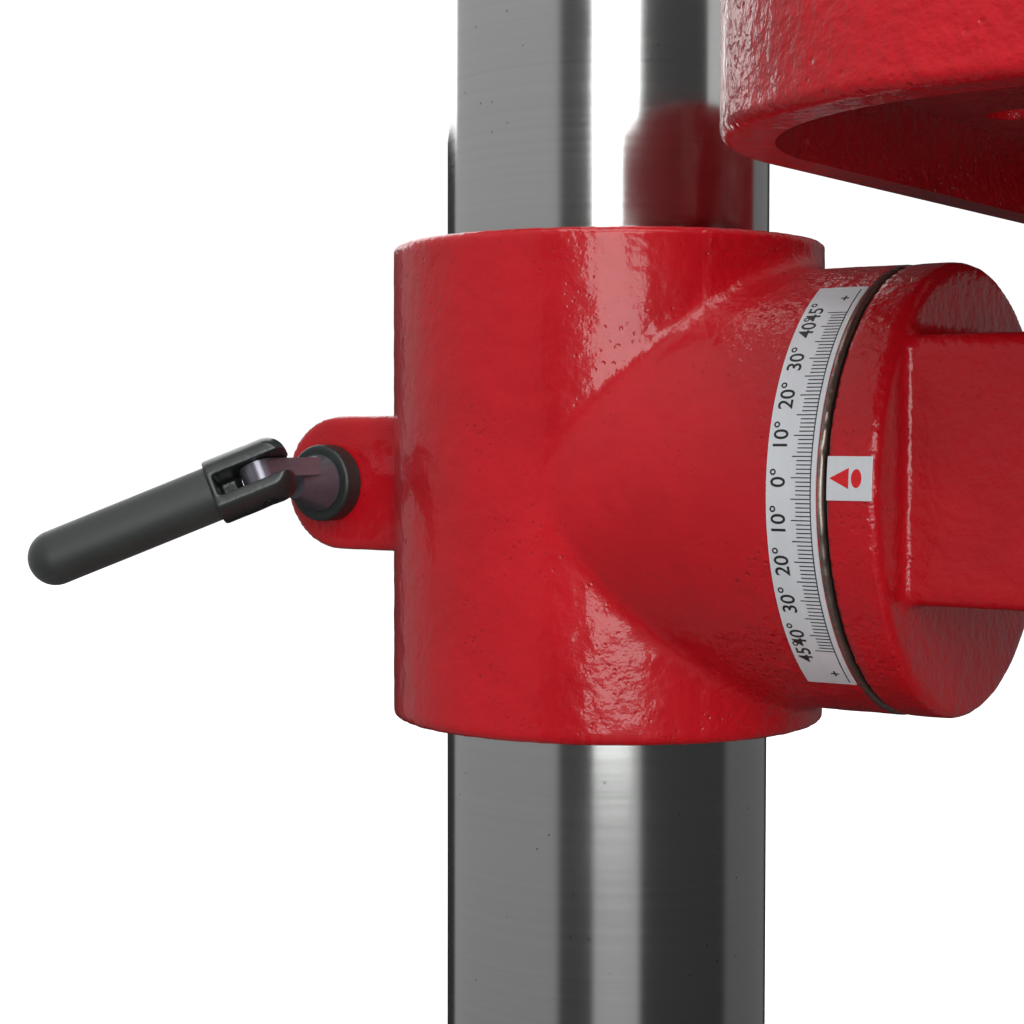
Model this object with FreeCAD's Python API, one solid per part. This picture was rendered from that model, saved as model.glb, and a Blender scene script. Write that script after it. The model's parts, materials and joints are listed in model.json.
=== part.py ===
import FreeCAD, Part

import math
import os

# Bench drill press. Millimetres, +Z up. The operator stands at -Y, the column is at the rear.
# The origin is the centre of the four bench bolt holes, on the underside of the base.

Vector = FreeCAD.Vector
X_AXIS = Vector(1, 0, 0)
Y_AXIS = Vector(0, 1, 0)
Z_AXIS = Vector(0, 0, 1)

# ------------------------------------------------------------------ clearances
RUN = 0.05          # radial clearance of a shaft or sliding fit
FREE = 0.3          # gap between faces that pass each other
SEAT = 0.1          # gap under a bolt head or between bolted faces

# ------------------------------------------------------------------ layout
COLUMN_R = 40.0
COLUMN_WALL = 4.0
COLUMN_Y = 140.0
THROAT = 225.0                       # column axis to spindle axis
SPINDLE_Y = COLUMN_Y - THROAT
BRACKET_Z = 400.0                    # height of the tilt axis at rest
HEAD_Z = 735.0                       # underside of the head casting
HEAD_HEIGHT = 180.0
HEAD_TOP = HEAD_Z + HEAD_HEIGHT

# ------------------------------------------------------------------ base
BASE_WIDTH = 280.0
BASE_DEPTH = 460.0
BASE_HEIGHT = 40.0
BASE_CORNER = 34.0
BASE_WALL = 10.0
BASE_PAD = 4.0
BOLT_SPACING_X = 220.0
BOLT_SPACING_Y = 400.0
BENCH_HOLE_R = 6.0
BASE_SLOT_WIDTH = 14.0
BASE_SLOT_LENGTH = 210.0
BASE_SLOT_X = 55.0

# ------------------------------------------------------------------ column socket
SOCKET_WALL = 8.0
SOCKET_BARREL_R = COLUMN_R + SOCKET_WALL
SOCKET_LIP_R = SOCKET_BARREL_R + 10.0
SOCKET_BOLT_CIRCLE_R = SOCKET_LIP_R + 9.0
SOCKET_FLANGE_R = SOCKET_BOLT_CIRCLE_R + 13.0
SOCKET_FLANGE_T = 14.0
SOCKET_HEIGHT = 100.0
SOCKET_LIP_H = 16.0
SOCKET_BOLT_R = 6.0
SOCKET_BOLT_AF = 18.0

# ------------------------------------------------------------------ rack and lift gear
RACK_MODULE = 2.0
RACK_WIDTH = 14.0
RACK_THICKNESS = 10.0
RACK_TOP_Z = 588.0
RACK_END_DEPTH = 8.0
COLLAR_HEIGHT = 28.0
COLLAR_SCREW_DROP = 9.0
GRUB_SCREW_R = 5.0
LIFT_TEETH = 14
LIFT_GEAR_WIDTH = 16.0
LIFT_PIN_R = 5.0
WORM_PITCH_R = 9.0
WORM_PLAY = 1.3
WORM_TURNS = 3                       # odd, so that a thread faces a tooth space
WORM_END = 1.5
GEAR_PLAY = 0.35
PRESSURE_ANGLE = math.radians(20)
CRANK_RADIUS = 60.0
CRANK_SHAFT_R = 7.0
CRANK_HUB = 16.0
CRANK_HANDLE_R = 11.0
CRANK_HANDLE_LENGTH = 62.0
CRANK_PIN_R = 4.0
CRANK_BOSS_R = 9.0
CRANK_BOSS_T = 10.0
CRANK_OFFSET = 6.0                   # handle boss, out from the hub's inner face

# ------------------------------------------------------------------ table bracket
BRACKET_WALL = 13.5
BRACKET_R = COLUMN_R + BRACKET_WALL
BRACKET_TOP = 59.6
BRACKET_BOTTOM = -58.0
BARREL_R = 51.2
BARREL_END = 82.6
BRACKET_FILLET = 5.4
BRACKET_RIM = 1.2
EAR_REACH = 87.0
EAR_HALF_HEIGHT = 17.5
EAR_HALF_WIDTH = 21.1
SLIT = 3.0
CLAMP_Y = 71.5
CLAMP_R = 6.0
SCALE_FRONT = 81.2
SCALE_WIDTH = 11.4
SCALE_T = 0.3
SCALE_ZERO_DEG = 4.0
SCALE_UP_DEG = 56.5
SCALE_DOWN_DEG = 58.0

# ------------------------------------------------------------------ clamp lever
STUD_COLLAR_R = 10.0
STUD_COLLAR_T = 5.5
LEVER_RAISE = 2.5                     # pivot pin, above the stud's axis
LEVER_PIVOT = 29.0                   # pivot pin, out from the ear face
LEVER_DROOP_DEG = 26.6
LEVER_FOLD_DEG = 57.0
LEVER_LENGTH = 62.5
LEVER_R = 7.0
LEVER_FORK_LENGTH = 12.4
LEVER_FORK_WALL = 1.8                 # metal left behind the slot
LEVER_FORK_HALF = 6.5
LEVER_FORK_R = 8.4
LEVER_FORK_RELIEF = 8.2               # turning room for the tang, inside the slot
LEVER_CORE_WALL = 1.2                 # grip sleeve on the fork's core
LEVER_CORE_LENGTH = 20.0
LEVER_PIN_R = 2.5
TANG_T = 5.0

# ------------------------------------------------------------------ tilting arm and table
ARM_FLANGE_GAP = 0.4
ARM_FLANGE_FRONT = 94.6
ARM_HALF_WIDTH = 37.0
ARM_TOP = 33.7
ARM_BOTTOM = -23.5
ARM_WALL = 10.0
ARM_HUB_R = 46.0
TABLE_STEM_R = 30.0
TILT_BOLT_R = 8.0
TILT_BOLT_AF = 24.0
TABLE_SIZE = 290.0
TABLE_CORNER = 70.0
TABLE_LIP = 66.0                     # lip underside above the tilt axis
TABLE_TOP = 97.0
TABLE_PLATE = 14.0
TABLE_RIM = 10.0
TABLE_HUB_H = 6.0
TABLE_SLOT_WIDTH = 14.0
TABLE_SLOT_INNER = 38.0
TABLE_BORE_R = 15.0
LOCK_SCREW_R = 5.0
LOCK_Z = 8.0                         # table lock above the tilt axis
LOCK_BAR_HALF = 30.0

# ------------------------------------------------------------------ head
HEAD_WALL = 16.0
HEAD_COLUMN_R = COLUMN_R + HEAD_WALL
HEAD_QUILL_R = 45.0
HEAD_WEB_HALF = 44.0
HEAD_CAP_HALF = 62.0
HEAD_CAP_T = 16.0
HEAD_SCREW_HEIGHTS = (35.0, 120.0)
HEAD_STEP = 14.0                     # web and hollow above the bosses' underside
FEED_BOSS_R = 32.0
SPRING_BOSS_REACH = 58.0
QUILL_R = 31.0
QUILL_BORE_R = 21.0
QUILL_BOTTOM = 716.0
QUILL_LENGTH = 186.0
QUILL_TRAVEL = 80.0
FEED_MODULE = 2.0
FEED_TEETH = 16
FEED_Z = 800.0
FEED_SHAFT_R = 10.0
FEED_HUB_R = 25.0
FEED_HUB_X = 66.0
FEED_HUB_LENGTH = 34.0
HANDLE_COUNT = 3
HANDLE_R = 6.0
HANDLE_LENGTH = 112.0
HANDLE_LEAN_DEG = 14.0
KNOB_R = 17.0
SPRING_CAP_R = 36.0
SPRING_CAP_LENGTH = 26.0
SPRING_STRIP = 0.9
SPRING_PITCH = 3.4
STOP_ROD_R = 5.0
STOP_X = 60.0
STOP_NUT_R = 11.0
STOP_NUT_GAP = 1.5                   # depth nuts to the spring cap
STOP_LUG_Z = 752.0
STOP_LUG_T = 14.0
STOP_LUG_R = 11.0
STOP_EYE_R = 10.0

# ------------------------------------------------------------------ spindle and chuck
SPINDLE_R = 9.0
SPINDLE_TOP = 988.0
SPLINE_COUNT = 6
BEARING_H = 12.0
TAPER_TOP_R = 8.0
TAPER_END_R = 7.0
TAPER_DEPTH = 23.0                   # taper's small end below the chuck's top
CHUCK_TOP = 708.0
CHUCK_R = 26.0
CHUCK_LENGTH = 78.0
CHUCK_SLEEVE_R = 29.0
JAW_R = 4.5
JAW_LEAN_DEG = 16.0
JAW_OPEN_R = 4.0

# ------------------------------------------------------------------ drive
PULLEY_Z = 932.0
STEP_H = 14.0
MOTOR_R = 66.0
MOTOR_GAP = 90.0                     # column axis to the motor body
MOTOR_Y = COLUMN_Y + MOTOR_GAP + MOTOR_R
MOTOR_LENGTH = 175.0
MOTOR_TOP = 890.0
MOTOR_SHAFT_R = 7.0
MOTOR_BOLT_R = 4.0
MOTOR_PLATE_T = 8.0
IDLER_SHAFT_R = 8.0
IDLER_Y = COLUMN_Y - 78.0
BELT_T = 5.0
BELT_H = 5.6
BELT_DROP = 2.0                      # belt's outer face below the pulley rim
SPINDLE_STEPS = (34.0, 41.0, 48.0, 55.0)
IDLER_STEPS = (57.0, 50.0, 43.0, 36.0)
MOTOR_STEPS = (26.0, 33.0, 40.0, 47.0)
FRONT_STEP = 1
REAR_STEP = 3
COVER_R = 92.0
COVER_WALL = 2.0
COVER_HEIGHT = 94.0
TRAY_T = 3.0
TRAY_LIP = 12.0
SLIDE_BAR_R = 8.0
SLIDE_BAR_X = 30.0
HINGE_R = 5.0
HINGE_PIN_R = 2.5
HINGE_EYE = 18.0                     # length of the tray's eye
HINGE_KNUCKLE = 11.0                 # length of each of the lid's two knuckles
HINGE_KNUCKLE_Y = 15.0               # knuckle's middle from the hinge's middle
LID_SCREW_R = 3.0

# ------------------------------------------------------------------ switch
SWITCH_WIDTH = 66.0
SWITCH_HEIGHT = 92.0
SWITCH_DEPTH = 34.0
BUTTON_R = 11.0
BUTTON_TRAVEL = 3.0


def at(x=0.0, y=0.0, z=0.0):
    return Vector(x, y, z)


def rod(radius, length, start, axis):
    """Cylinder from a start point along an axis."""
    return Part.makeCylinder(radius, length, start, axis)


def ring(outer, inner, length, start, axis):
    """Plain ring or sleeve."""
    return rod(outer, length, start, axis).cut(rod(inner, length, start, axis))


def block(x, y, z):
    """Box from its three (low, high) pairs."""
    return Part.makeBox(x[1] - x[0], y[1] - y[0], z[1] - z[0], at(x[0], y[0], z[0]))


def hexagon(flats, length, start, axis):
    """Hexagonal prism from a start point along an axis."""
    corner = flats / math.sqrt(3)
    points = [at(corner * math.cos(math.radians(60 * k)), corner * math.sin(math.radians(60 * k)))
              for k in range(7)]
    prism = Part.Face(Part.makePolygon(points)).extrude(Z_AXIS * length)
    prism.Placement = FreeCAD.Placement(start, FreeCAD.Rotation(Z_AXIS, axis))
    return prism


def joined(*shapes):
    """One solid out of several that overlap."""
    return shapes[0].multiFuse(list(shapes[1:])).removeSplitter()


def without(shape, *cutters):
    """The shape with every cutter taken out of it."""
    return shape.cut(list(cutters)).removeSplitter()


def group(shapes):
    """Separate solids kept in one node."""
    return Part.makeCompound([solid for shape in shapes for solid in shape.Solids])


def moved(shape, offset):
    """A copy of the shape, shifted."""
    copy = shape.copy()
    copy.translate(offset)
    return copy


def turned(shape, centre, axis, degrees):
    """A copy of the shape, turned about a line."""
    copy = shape.copy()
    copy.rotate(centre, axis, degrees)
    return copy


def softened(shape, radius, chosen):
    """The shape with the chosen edges rounded."""
    return shape.makeFillet(radius, [edge for edge in shape.Edges if chosen(edge)])


def upright(edge):
    """Straight edges along Z."""
    return isinstance(edge.Curve, Part.Line) and abs(edge.tangentAt(edge.FirstParameter).z) > 0.999


def level_at(z):
    """Chooser for edges that lie flat at a height."""
    return lambda edge: edge.BoundBox.ZLength < 0.001 and abs(edge.BoundBox.ZMin - z) < 0.001


def plate(width, depth, corner, x, y, z):
    """Rounded rectangle about a centre, between two heights."""
    body = block((x - width / 2, x + width / 2), (y - depth / 2, y + depth / 2), z)
    return softened(body, corner, upright)


def slot(width, length, centre, height, along_y=True):
    """Round-ended slot cutter standing on a centre point."""
    half = (length - width) / 2
    step = at(0, half) if along_y else at(half, 0)
    side = (width, length - width) if along_y else (length - width, width)
    corner = centre - at(side[0] / 2, side[1] / 2)
    middle = Part.makeBox(side[0], side[1], height, corner)
    ends = [rod(width / 2, height, centre + step * sign, Z_AXIS) for sign in (-1, 1)]
    return joined(middle, *ends)


def gear(module, teeth, width, play):
    """Spur gear about Z from z = 0, with a tooth centred on +X."""
    pitch_r = module * teeth / 2
    base_r = pitch_r * math.cos(PRESSURE_ANGLE)
    tip_r = pitch_r + 0.9 * module
    root_r = pitch_r - 1.25 * module
    half_tooth = (math.pi * module / 2 - play) / 2 / pitch_r
    spread = math.tan(PRESSURE_ANGLE) - PRESSURE_ANGLE
    flank = [(root_r, half_tooth + spread)]
    for step in range(5):
        radius = base_r + (tip_r - base_r) * step / 4
        pressure = math.acos(base_r / radius)
        flank.append((radius, half_tooth + spread - math.tan(pressure) + pressure))
    points = []
    for tooth in range(teeth):
        middle = 2 * math.pi * tooth / teeth
        points += [(radius, middle - angle) for radius, angle in flank]
        points += [(radius, middle + angle) for radius, angle in reversed(flank)]
    outline = [at(radius * math.cos(angle), radius * math.sin(angle)) for radius, angle in points]
    return Part.Face(Part.makePolygon(outline + outline[:1])).extrude(Z_AXIS * width)


def rack_teeth(module, first, last, space_at, width, play):
    """Rack tooth spaces as cutters: pitch line on z, teeth towards +x, across y."""
    pitch = math.pi * module
    tip = 0.9 * module
    root = 1.3 * module
    space = (pitch / 2 + play) / 2
    cutters = []
    low = math.ceil((first - space_at) / pitch)
    high = math.floor((last - space_at) / pitch)
    for number in range(low, high + 1):
        z = space_at + number * pitch
        wide = space + (tip + 1.0) * math.tan(PRESSURE_ANGLE)
        narrow = space - root * math.tan(PRESSURE_ANGLE)
        points = [at(tip + 1.0, 0, z - wide), at(tip + 1.0, 0, z + wide), at(-root, 0, z + narrow),
                  at(-root, 0, z - narrow)]
        tool = Part.Face(Part.makePolygon(points + points[:1])).extrude(Y_AXIS * width)
        cutters.append(moved(tool, at(0, -width / 2, 0)))
    return cutters


# ================================================================== base and column
def base():
    """Hollow cast base with bench holes, two work slots and a machined pad."""
    body = plate(BASE_WIDTH, BASE_DEPTH, BASE_CORNER, 0, 0, (0, BASE_HEIGHT - BASE_PAD))
    body = softened(body, 6.0, level_at(BASE_HEIGHT - BASE_PAD))
    inner_corner = BASE_CORNER - BASE_WALL
    hollow = plate(BASE_WIDTH - 2 * BASE_WALL, BASE_DEPTH - 2 * BASE_WALL, inner_corner, 0, 0,
                   (0, BASE_HEIGHT - BASE_PAD - BASE_WALL))
    front = -BASE_DEPTH / 2 + 22
    rear = front + BASE_SLOT_LENGTH + 40
    pad = plate(BASE_WIDTH - 70, rear - front, 12.0, 0, (front + rear) / 2,
                (BASE_HEIGHT - BASE_PAD - 2, BASE_HEIGHT))
    seat = rod(SOCKET_FLANGE_R + 6, BASE_PAD + 2, at(0, COLUMN_Y, BASE_HEIGHT - BASE_PAD - 2), Z_AXIS)
    bosses = [rod(BENCH_HOLE_R + 10, BASE_HEIGHT - BASE_PAD, at(x, y), Z_AXIS) for x, y in bench_holes()]
    bosses += [rod(SOCKET_BOLT_R + 8, BASE_HEIGHT - 6, point + at(0, 0, 6 - BASE_HEIGHT), Z_AXIS)
               for point in socket_bolt_points()]
    body = joined(body.cut(hollow), pad, seat, *bosses)
    holes = [rod(BENCH_HOLE_R, BASE_HEIGHT, at(x, y), Z_AXIS) for x, y in bench_holes()]
    holes += [rod(SOCKET_BOLT_R, BASE_HEIGHT, point - at(0, 0, BASE_HEIGHT), Z_AXIS)
              for point in socket_bolt_points()]
    slots = [slot(BASE_SLOT_WIDTH, BASE_SLOT_LENGTH, at(x, (front + rear) / 2), BASE_HEIGHT)
             for x in (-BASE_SLOT_X, BASE_SLOT_X)]
    return without(body, *holes, *slots)


def bench_holes():
    """Centres of the holes that bolt the base to a bench."""
    return [(x, y) for x in (-BOLT_SPACING_X / 2, BOLT_SPACING_X / 2)
            for y in (-BOLT_SPACING_Y / 2, BOLT_SPACING_Y / 2)]


def socket_bolt_points():
    """Centres of the socket's bolts on the top of the base."""
    angles = [math.radians(45 + 90 * number) for number in range(4)]
    return [at(SOCKET_BOLT_CIRCLE_R * math.cos(angle), COLUMN_Y + SOCKET_BOLT_CIRCLE_R * math.sin(angle),
               BASE_HEIGHT) for angle in angles]


def column_socket():
    """Flanged casting that holds the column, with a lip for the rack's foot."""
    foot = at(0, COLUMN_Y, BASE_HEIGHT)
    flange = softened(rod(SOCKET_FLANGE_R, SOCKET_FLANGE_T, foot, Z_AXIS), 2.0,
                      level_at(BASE_HEIGHT + SOCKET_FLANGE_T))
    barrel = rod(SOCKET_BARREL_R, SOCKET_HEIGHT, foot, Z_AXIS)
    lip_foot = foot + at(0, 0, SOCKET_HEIGHT - SOCKET_LIP_H)
    lip = rod(SOCKET_LIP_R, SOCKET_LIP_H, lip_foot, Z_AXIS)
    cone = Part.makeCone(SOCKET_BARREL_R, SOCKET_LIP_R, 10, lip_foot - at(0, 0, 10), Z_AXIS)
    body = joined(flange, barrel, cone, lip)
    flange_top = level_at(BASE_HEIGHT + SOCKET_FLANGE_T)
    root = 2 * SOCKET_BARREL_R + 1
    body = softened(body, 5.0, lambda edge: flange_top(edge) and edge.BoundBox.XLength < root)
    body = softened(body, 1.5, level_at(BASE_HEIGHT + SOCKET_HEIGHT))
    groove = rod(rack_outer() + 1.0, RACK_END_DEPTH, foot + at(0, 0, SOCKET_HEIGHT - RACK_END_DEPTH), Z_AXIS)
    bore = rod(COLUMN_R + RUN, SOCKET_HEIGHT, foot, Z_AXIS)
    holes = [rod(SOCKET_BOLT_R + FREE, SOCKET_FLANGE_T, point, Z_AXIS) for point in socket_bolt_points()]
    return without(body, groove, bore, *holes)


def socket_bolts():
    """Four hex bolts that hold the socket to the base."""
    bolts = []
    for point in socket_bolt_points():
        top = point + at(0, 0, SOCKET_FLANGE_T + SEAT)
        shank = rod(SOCKET_BOLT_R - RUN, SOCKET_FLANGE_T + 24, top - at(0, 0, SOCKET_FLANGE_T + 24), Z_AXIS)
        washer = rod(SOCKET_BOLT_R + 4.5, 1.6, top, Z_AXIS)
        head = hexagon(SOCKET_BOLT_AF, 8, top + at(0, 0, 1.6), Z_AXIS)
        bolts.append(joined(shank, washer, head))
    return group(bolts)


def column():
    """Ground steel tube."""
    foot = at(0, COLUMN_Y, BASE_HEIGHT + SEAT)
    length = HEAD_TOP - 30 - BASE_HEIGHT
    return ring(COLUMN_R, COLUMN_R - COLUMN_WALL, length, foot, Z_AXIS)


# ================================================================== rack and lift gear
def rack_outer():
    """Distance of the rack's tooth tips from the column axis."""
    return COLUMN_R + 2 * FREE + RACK_THICKNESS


def rack_pitch_x():
    """Distance of the rack's pitch line from the column axis."""
    return rack_outer() - 0.9 * RACK_MODULE


def rack():
    """Toothed bar that stands beside the column and turns round it with the table."""
    foot = BASE_HEIGHT + SOCKET_HEIGHT - RACK_END_DEPTH + FREE
    half = RACK_WIDTH / 2
    inner = COLUMN_R + 2 * FREE
    bar = block((inner, rack_outer()), (COLUMN_Y - half, COLUMN_Y + half), (foot, RACK_TOP_Z))
    first = foot + 2 * RACK_END_DEPTH
    last = RACK_TOP_Z - 2 * RACK_END_DEPTH
    teeth = rack_teeth(RACK_MODULE, first, last, BRACKET_Z, RACK_WIDTH + 2, GEAR_PLAY)
    offset = at(rack_pitch_x(), COLUMN_Y, 0)
    return without(bar, *[moved(tool, offset) for tool in teeth])


def rack_collar():
    """Ring at the top of the rack that keeps it against the column."""
    foot = at(0, COLUMN_Y, RACK_TOP_Z + FREE - RACK_END_DEPTH)
    body = rod(SOCKET_LIP_R, COLLAR_HEIGHT, foot, Z_AXIS)
    body = softened(body, 2.0, lambda edge: edge.BoundBox.ZLength < 0.001)
    recess = rod(rack_outer() + 1.0, RACK_END_DEPTH, foot, Z_AXIS)
    bore = rod(COLUMN_R + RUN, COLLAR_HEIGHT, foot, Z_AXIS)
    screw = rod(GRUB_SCREW_R, 30, foot + at(0, -COLUMN_R, COLLAR_HEIGHT - COLLAR_SCREW_DROP), -Y_AXIS)
    return without(body, recess, bore, screw)


def socket_screw(tip, length, outwards):
    """Grub screw with a hexagonal key hole."""
    body = rod(GRUB_SCREW_R - RUN, length, tip, outwards)
    key = hexagon(GRUB_SCREW_R, length * 0.45, tip + outwards * (length * 0.55), outwards)
    return body.cut(key)


def lift_axis():
    """Centre of the lift gear, seen from the column axis."""
    return at(rack_pitch_x() + RACK_MODULE * LIFT_TEETH / 2, COLUMN_Y, BRACKET_Z)


def worm_axis_z():
    """Height of the worm above the lift gear."""
    return BRACKET_Z + RACK_MODULE * LIFT_TEETH / 2 + WORM_PITCH_R


def worm_span():
    """Start and length of the worm's thread along X."""
    length = WORM_TURNS * math.pi * RACK_MODULE
    return lift_axis().x - length / 2, length


def gearbox_end():
    """Outer face of the gearbox on the bracket's right side."""
    start, length = worm_span()
    return start + length + 14


def lift_gear():
    """Pinion between the worm and the rack."""
    centre = lift_axis()
    body = gear(RACK_MODULE, LIFT_TEETH, LIFT_GEAR_WIDTH, GEAR_PLAY)
    body = body.cut(rod(LIFT_PIN_R + RUN, LIFT_GEAR_WIDTH, at(), Z_AXIS))
    body.rotate(at(), X_AXIS, 90)
    body.translate(centre + at(0, LIFT_GEAR_WIDTH / 2, 0))
    return body


def lift_pin():
    """Pin that the lift gear turns on."""
    half = LIFT_GEAR_WIDTH / 2 + 11
    return rod(LIFT_PIN_R, 2 * half, lift_axis() - at(0, half, 0), Y_AXIS)


def worm_shaft():
    """Crank shaft with its worm thread, a sleeve of its own on the core."""
    start, length = worm_span()
    pitch = math.pi * RACK_MODULE
    root = WORM_PITCH_R - 1.2 * RACK_MODULE
    tip = WORM_PITCH_R + 0.8 * RACK_MODULE
    half = (pitch / 2 - WORM_PLAY) / 2
    slope = math.tan(PRESSURE_ANGLE)
    foot = root - 0.4
    wide = half + (WORM_PITCH_R - foot) * slope
    narrow = half - (tip - WORM_PITCH_R) * slope
    points = [at(foot, 0, -wide), at(tip, 0, -narrow), at(tip, 0, narrow), at(foot, 0, wide)]
    profile = Part.makePolygon(points + points[:1])
    helix = Part.makeHelix(pitch, length, WORM_PITCH_R)
    core = rod(root, length + 2 * WORM_END, at(0, 0, -WORM_END), Z_AXIS)
    thread = Part.Wire(helix.Edges).makePipeShell([profile], True, True).cut(core)
    neck = rod(CRANK_SHAFT_R, crank_end() + CRANK_HUB - SEAT - start - length - WORM_END,
               at(0, 0, length + WORM_END), Z_AXIS)
    shaft = group([joined(core, neck), thread])
    shaft.rotate(at(), Y_AXIS, 90)
    shaft.rotate(at(), X_AXIS, 180)
    shaft.translate(at(start, COLUMN_Y, worm_axis_z()))
    return shaft


def crank_end():
    """Where the crank arm sits on the worm shaft."""
    return gearbox_end() + FREE


def crank_arm():
    """Cast crank arm, hub to handle boss."""
    start = at(crank_end(), COLUMN_Y, worm_axis_z())
    hub = rod(CRANK_SHAFT_R + 6, CRANK_HUB, start, X_AXIS)
    tip = start + at(CRANK_OFFSET, 0, -CRANK_RADIUS)
    boss = rod(CRANK_BOSS_R, CRANK_BOSS_T, tip, X_AXIS)
    web = block((start.x + CRANK_OFFSET, start.x + CRANK_OFFSET + 8), (COLUMN_Y - 7, COLUMN_Y + 7),
                (start.z - CRANK_RADIUS, start.z))
    face = start.x + CRANK_HUB
    body = softened(joined(hub, boss, web), 1.0, lambda edge: abs(edge.CenterOfMass.x - face) < 0.01)
    bore = rod(CRANK_SHAFT_R + RUN, CRANK_HUB, start, X_AXIS)
    hole = rod(CRANK_PIN_R + RUN, CRANK_BOSS_T, tip, X_AXIS)
    return without(body, bore, hole)


def crank_spindle():
    """Shoulder bolt that the crank handle turns on."""
    start = at(crank_end() + CRANK_OFFSET + SEAT, COLUMN_Y, worm_axis_z() - CRANK_RADIUS)
    length = CRANK_BOSS_T + CRANK_HANDLE_LENGTH + 1
    shank = rod(CRANK_PIN_R, length, start, X_AXIS)
    head = rod(CRANK_PIN_R + 3, 4, start + at(length, 0, 0), X_AXIS)
    return joined(shank, head)


def crank_handle():
    """Turning grip of the crank."""
    start = at(crank_end() + CRANK_OFFSET + CRANK_BOSS_T + FREE, COLUMN_Y, worm_axis_z() - CRANK_RADIUS)
    radii = (8.0, CRANK_HANDLE_R, CRANK_HANDLE_R, 8.5)
    places = (0.0, 0.3, 0.75, 1.0)
    line = [at(place * CRANK_HANDLE_LENGTH, radius) for place, radius in zip(places, radii)]
    curve = Part.BSplineCurve()
    curve.interpolate(line)
    edges = [curve.toShape(), Part.makeLine(line[-1], at(CRANK_HANDLE_LENGTH, 0)),
             Part.makeLine(at(CRANK_HANDLE_LENGTH, 0), at()), Part.makeLine(at(), line[0])]
    body = Part.Face(Part.Wire(edges)).revolve(at(), X_AXIS, 360)
    body = body.cut(rod(CRANK_PIN_R + RUN, CRANK_HANDLE_LENGTH, at(), X_AXIS))
    body.translate(start)
    return body


# ================================================================== table bracket
def bracket_place():
    """Where the column axis meets the tilt axis."""
    return at(0, COLUMN_Y, BRACKET_Z)


def table_bracket():
    """Split collar on the column with the tilt barrel, the clamp ears and the lift gearbox."""
    height = BRACKET_TOP - BRACKET_BOTTOM
    bore = rod(COLUMN_R + RUN, height, at(0, 0, BRACKET_BOTTOM), Z_AXIS)
    collar = rod(BRACKET_R, height, at(0, 0, BRACKET_BOTTOM), Z_AXIS)
    barrel = rod(BARREL_R, BARREL_END, at(), -Y_AXIS)
    body = joined(collar, barrel).cut(bore)
    body = softened(body, BRACKET_RIM, is_collar_rim)
    body = softened(body, BRACKET_FILLET, is_barrel_root)
    body = body.multiFuse([bracket_ears().cut(bore), gearbox().cut(bore)])
    body = body.cut(bracket_cutters())
    body.translate(bracket_place())
    return body


def is_collar_rim(edge):
    """The outer edges of the collar's two ends."""
    level = level_at(BRACKET_TOP)(edge) or level_at(BRACKET_BOTTOM)(edge)
    return level and edge.BoundBox.XLength > 2 * COLUMN_R + 2


def is_barrel_root(edge):
    """The curve where the barrel leaves the collar."""
    box = edge.BoundBox
    return box.YLength > 5 and box.YMax < 0 and box.YMin > -BRACKET_R - 1 and box.ZLength > 1


def bracket_ears():
    """Two lugs at the rear that the clamp stud draws together, before the slit is cut."""
    centre = EAR_REACH - EAR_HALF_HEIGHT
    wide = 2 * EAR_HALF_WIDTH
    nose = rod(EAR_HALF_HEIGHT, wide, at(-EAR_HALF_WIDTH, centre, 0), X_AXIS)
    root = block((-EAR_HALF_WIDTH, EAR_HALF_WIDTH), (BRACKET_R - 12, centre),
                 (-EAR_HALF_HEIGHT, EAR_HALF_HEIGHT))
    ears = joined(nose, root)
    return softened(ears, 1.5, lambda edge: abs(abs(edge.CenterOfMass.x) - EAR_HALF_WIDTH) < 0.01
                    and edge.CenterOfMass.y > BRACKET_R - 11)


def gearbox():
    """Boss on the right of the collar that holds the lift gear and the worm."""
    gear_x = lift_axis().x
    worm_z = worm_axis_z() - BRACKET_Z
    reach = gearbox_end()
    spine = block((30, rack_outer() + 6), (-RACK_WIDTH / 2 - 8, RACK_WIDTH / 2 + 8),
                  (BRACKET_BOTTOM, BRACKET_TOP))
    spine = softened(spine, 5.0, lambda edge: upright(edge) and edge.CenterOfMass.x > 31)
    case = block((30, gear_x + 20), (-LIFT_GEAR_WIDTH / 2 - 9, LIFT_GEAR_WIDTH / 2 + 9), (-24, worm_z + 18))
    case = softened(case, 5.0, lambda edge: edge.CenterOfMass.x > gear_x + 19)
    nose = rod(17, reach - 30, at(30, 0, worm_z), X_AXIS)
    nose = softened(nose, 2.0, lambda edge: edge.CenterOfMass.x > reach - 0.1)
    return joined(spine, case, nose)


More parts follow.
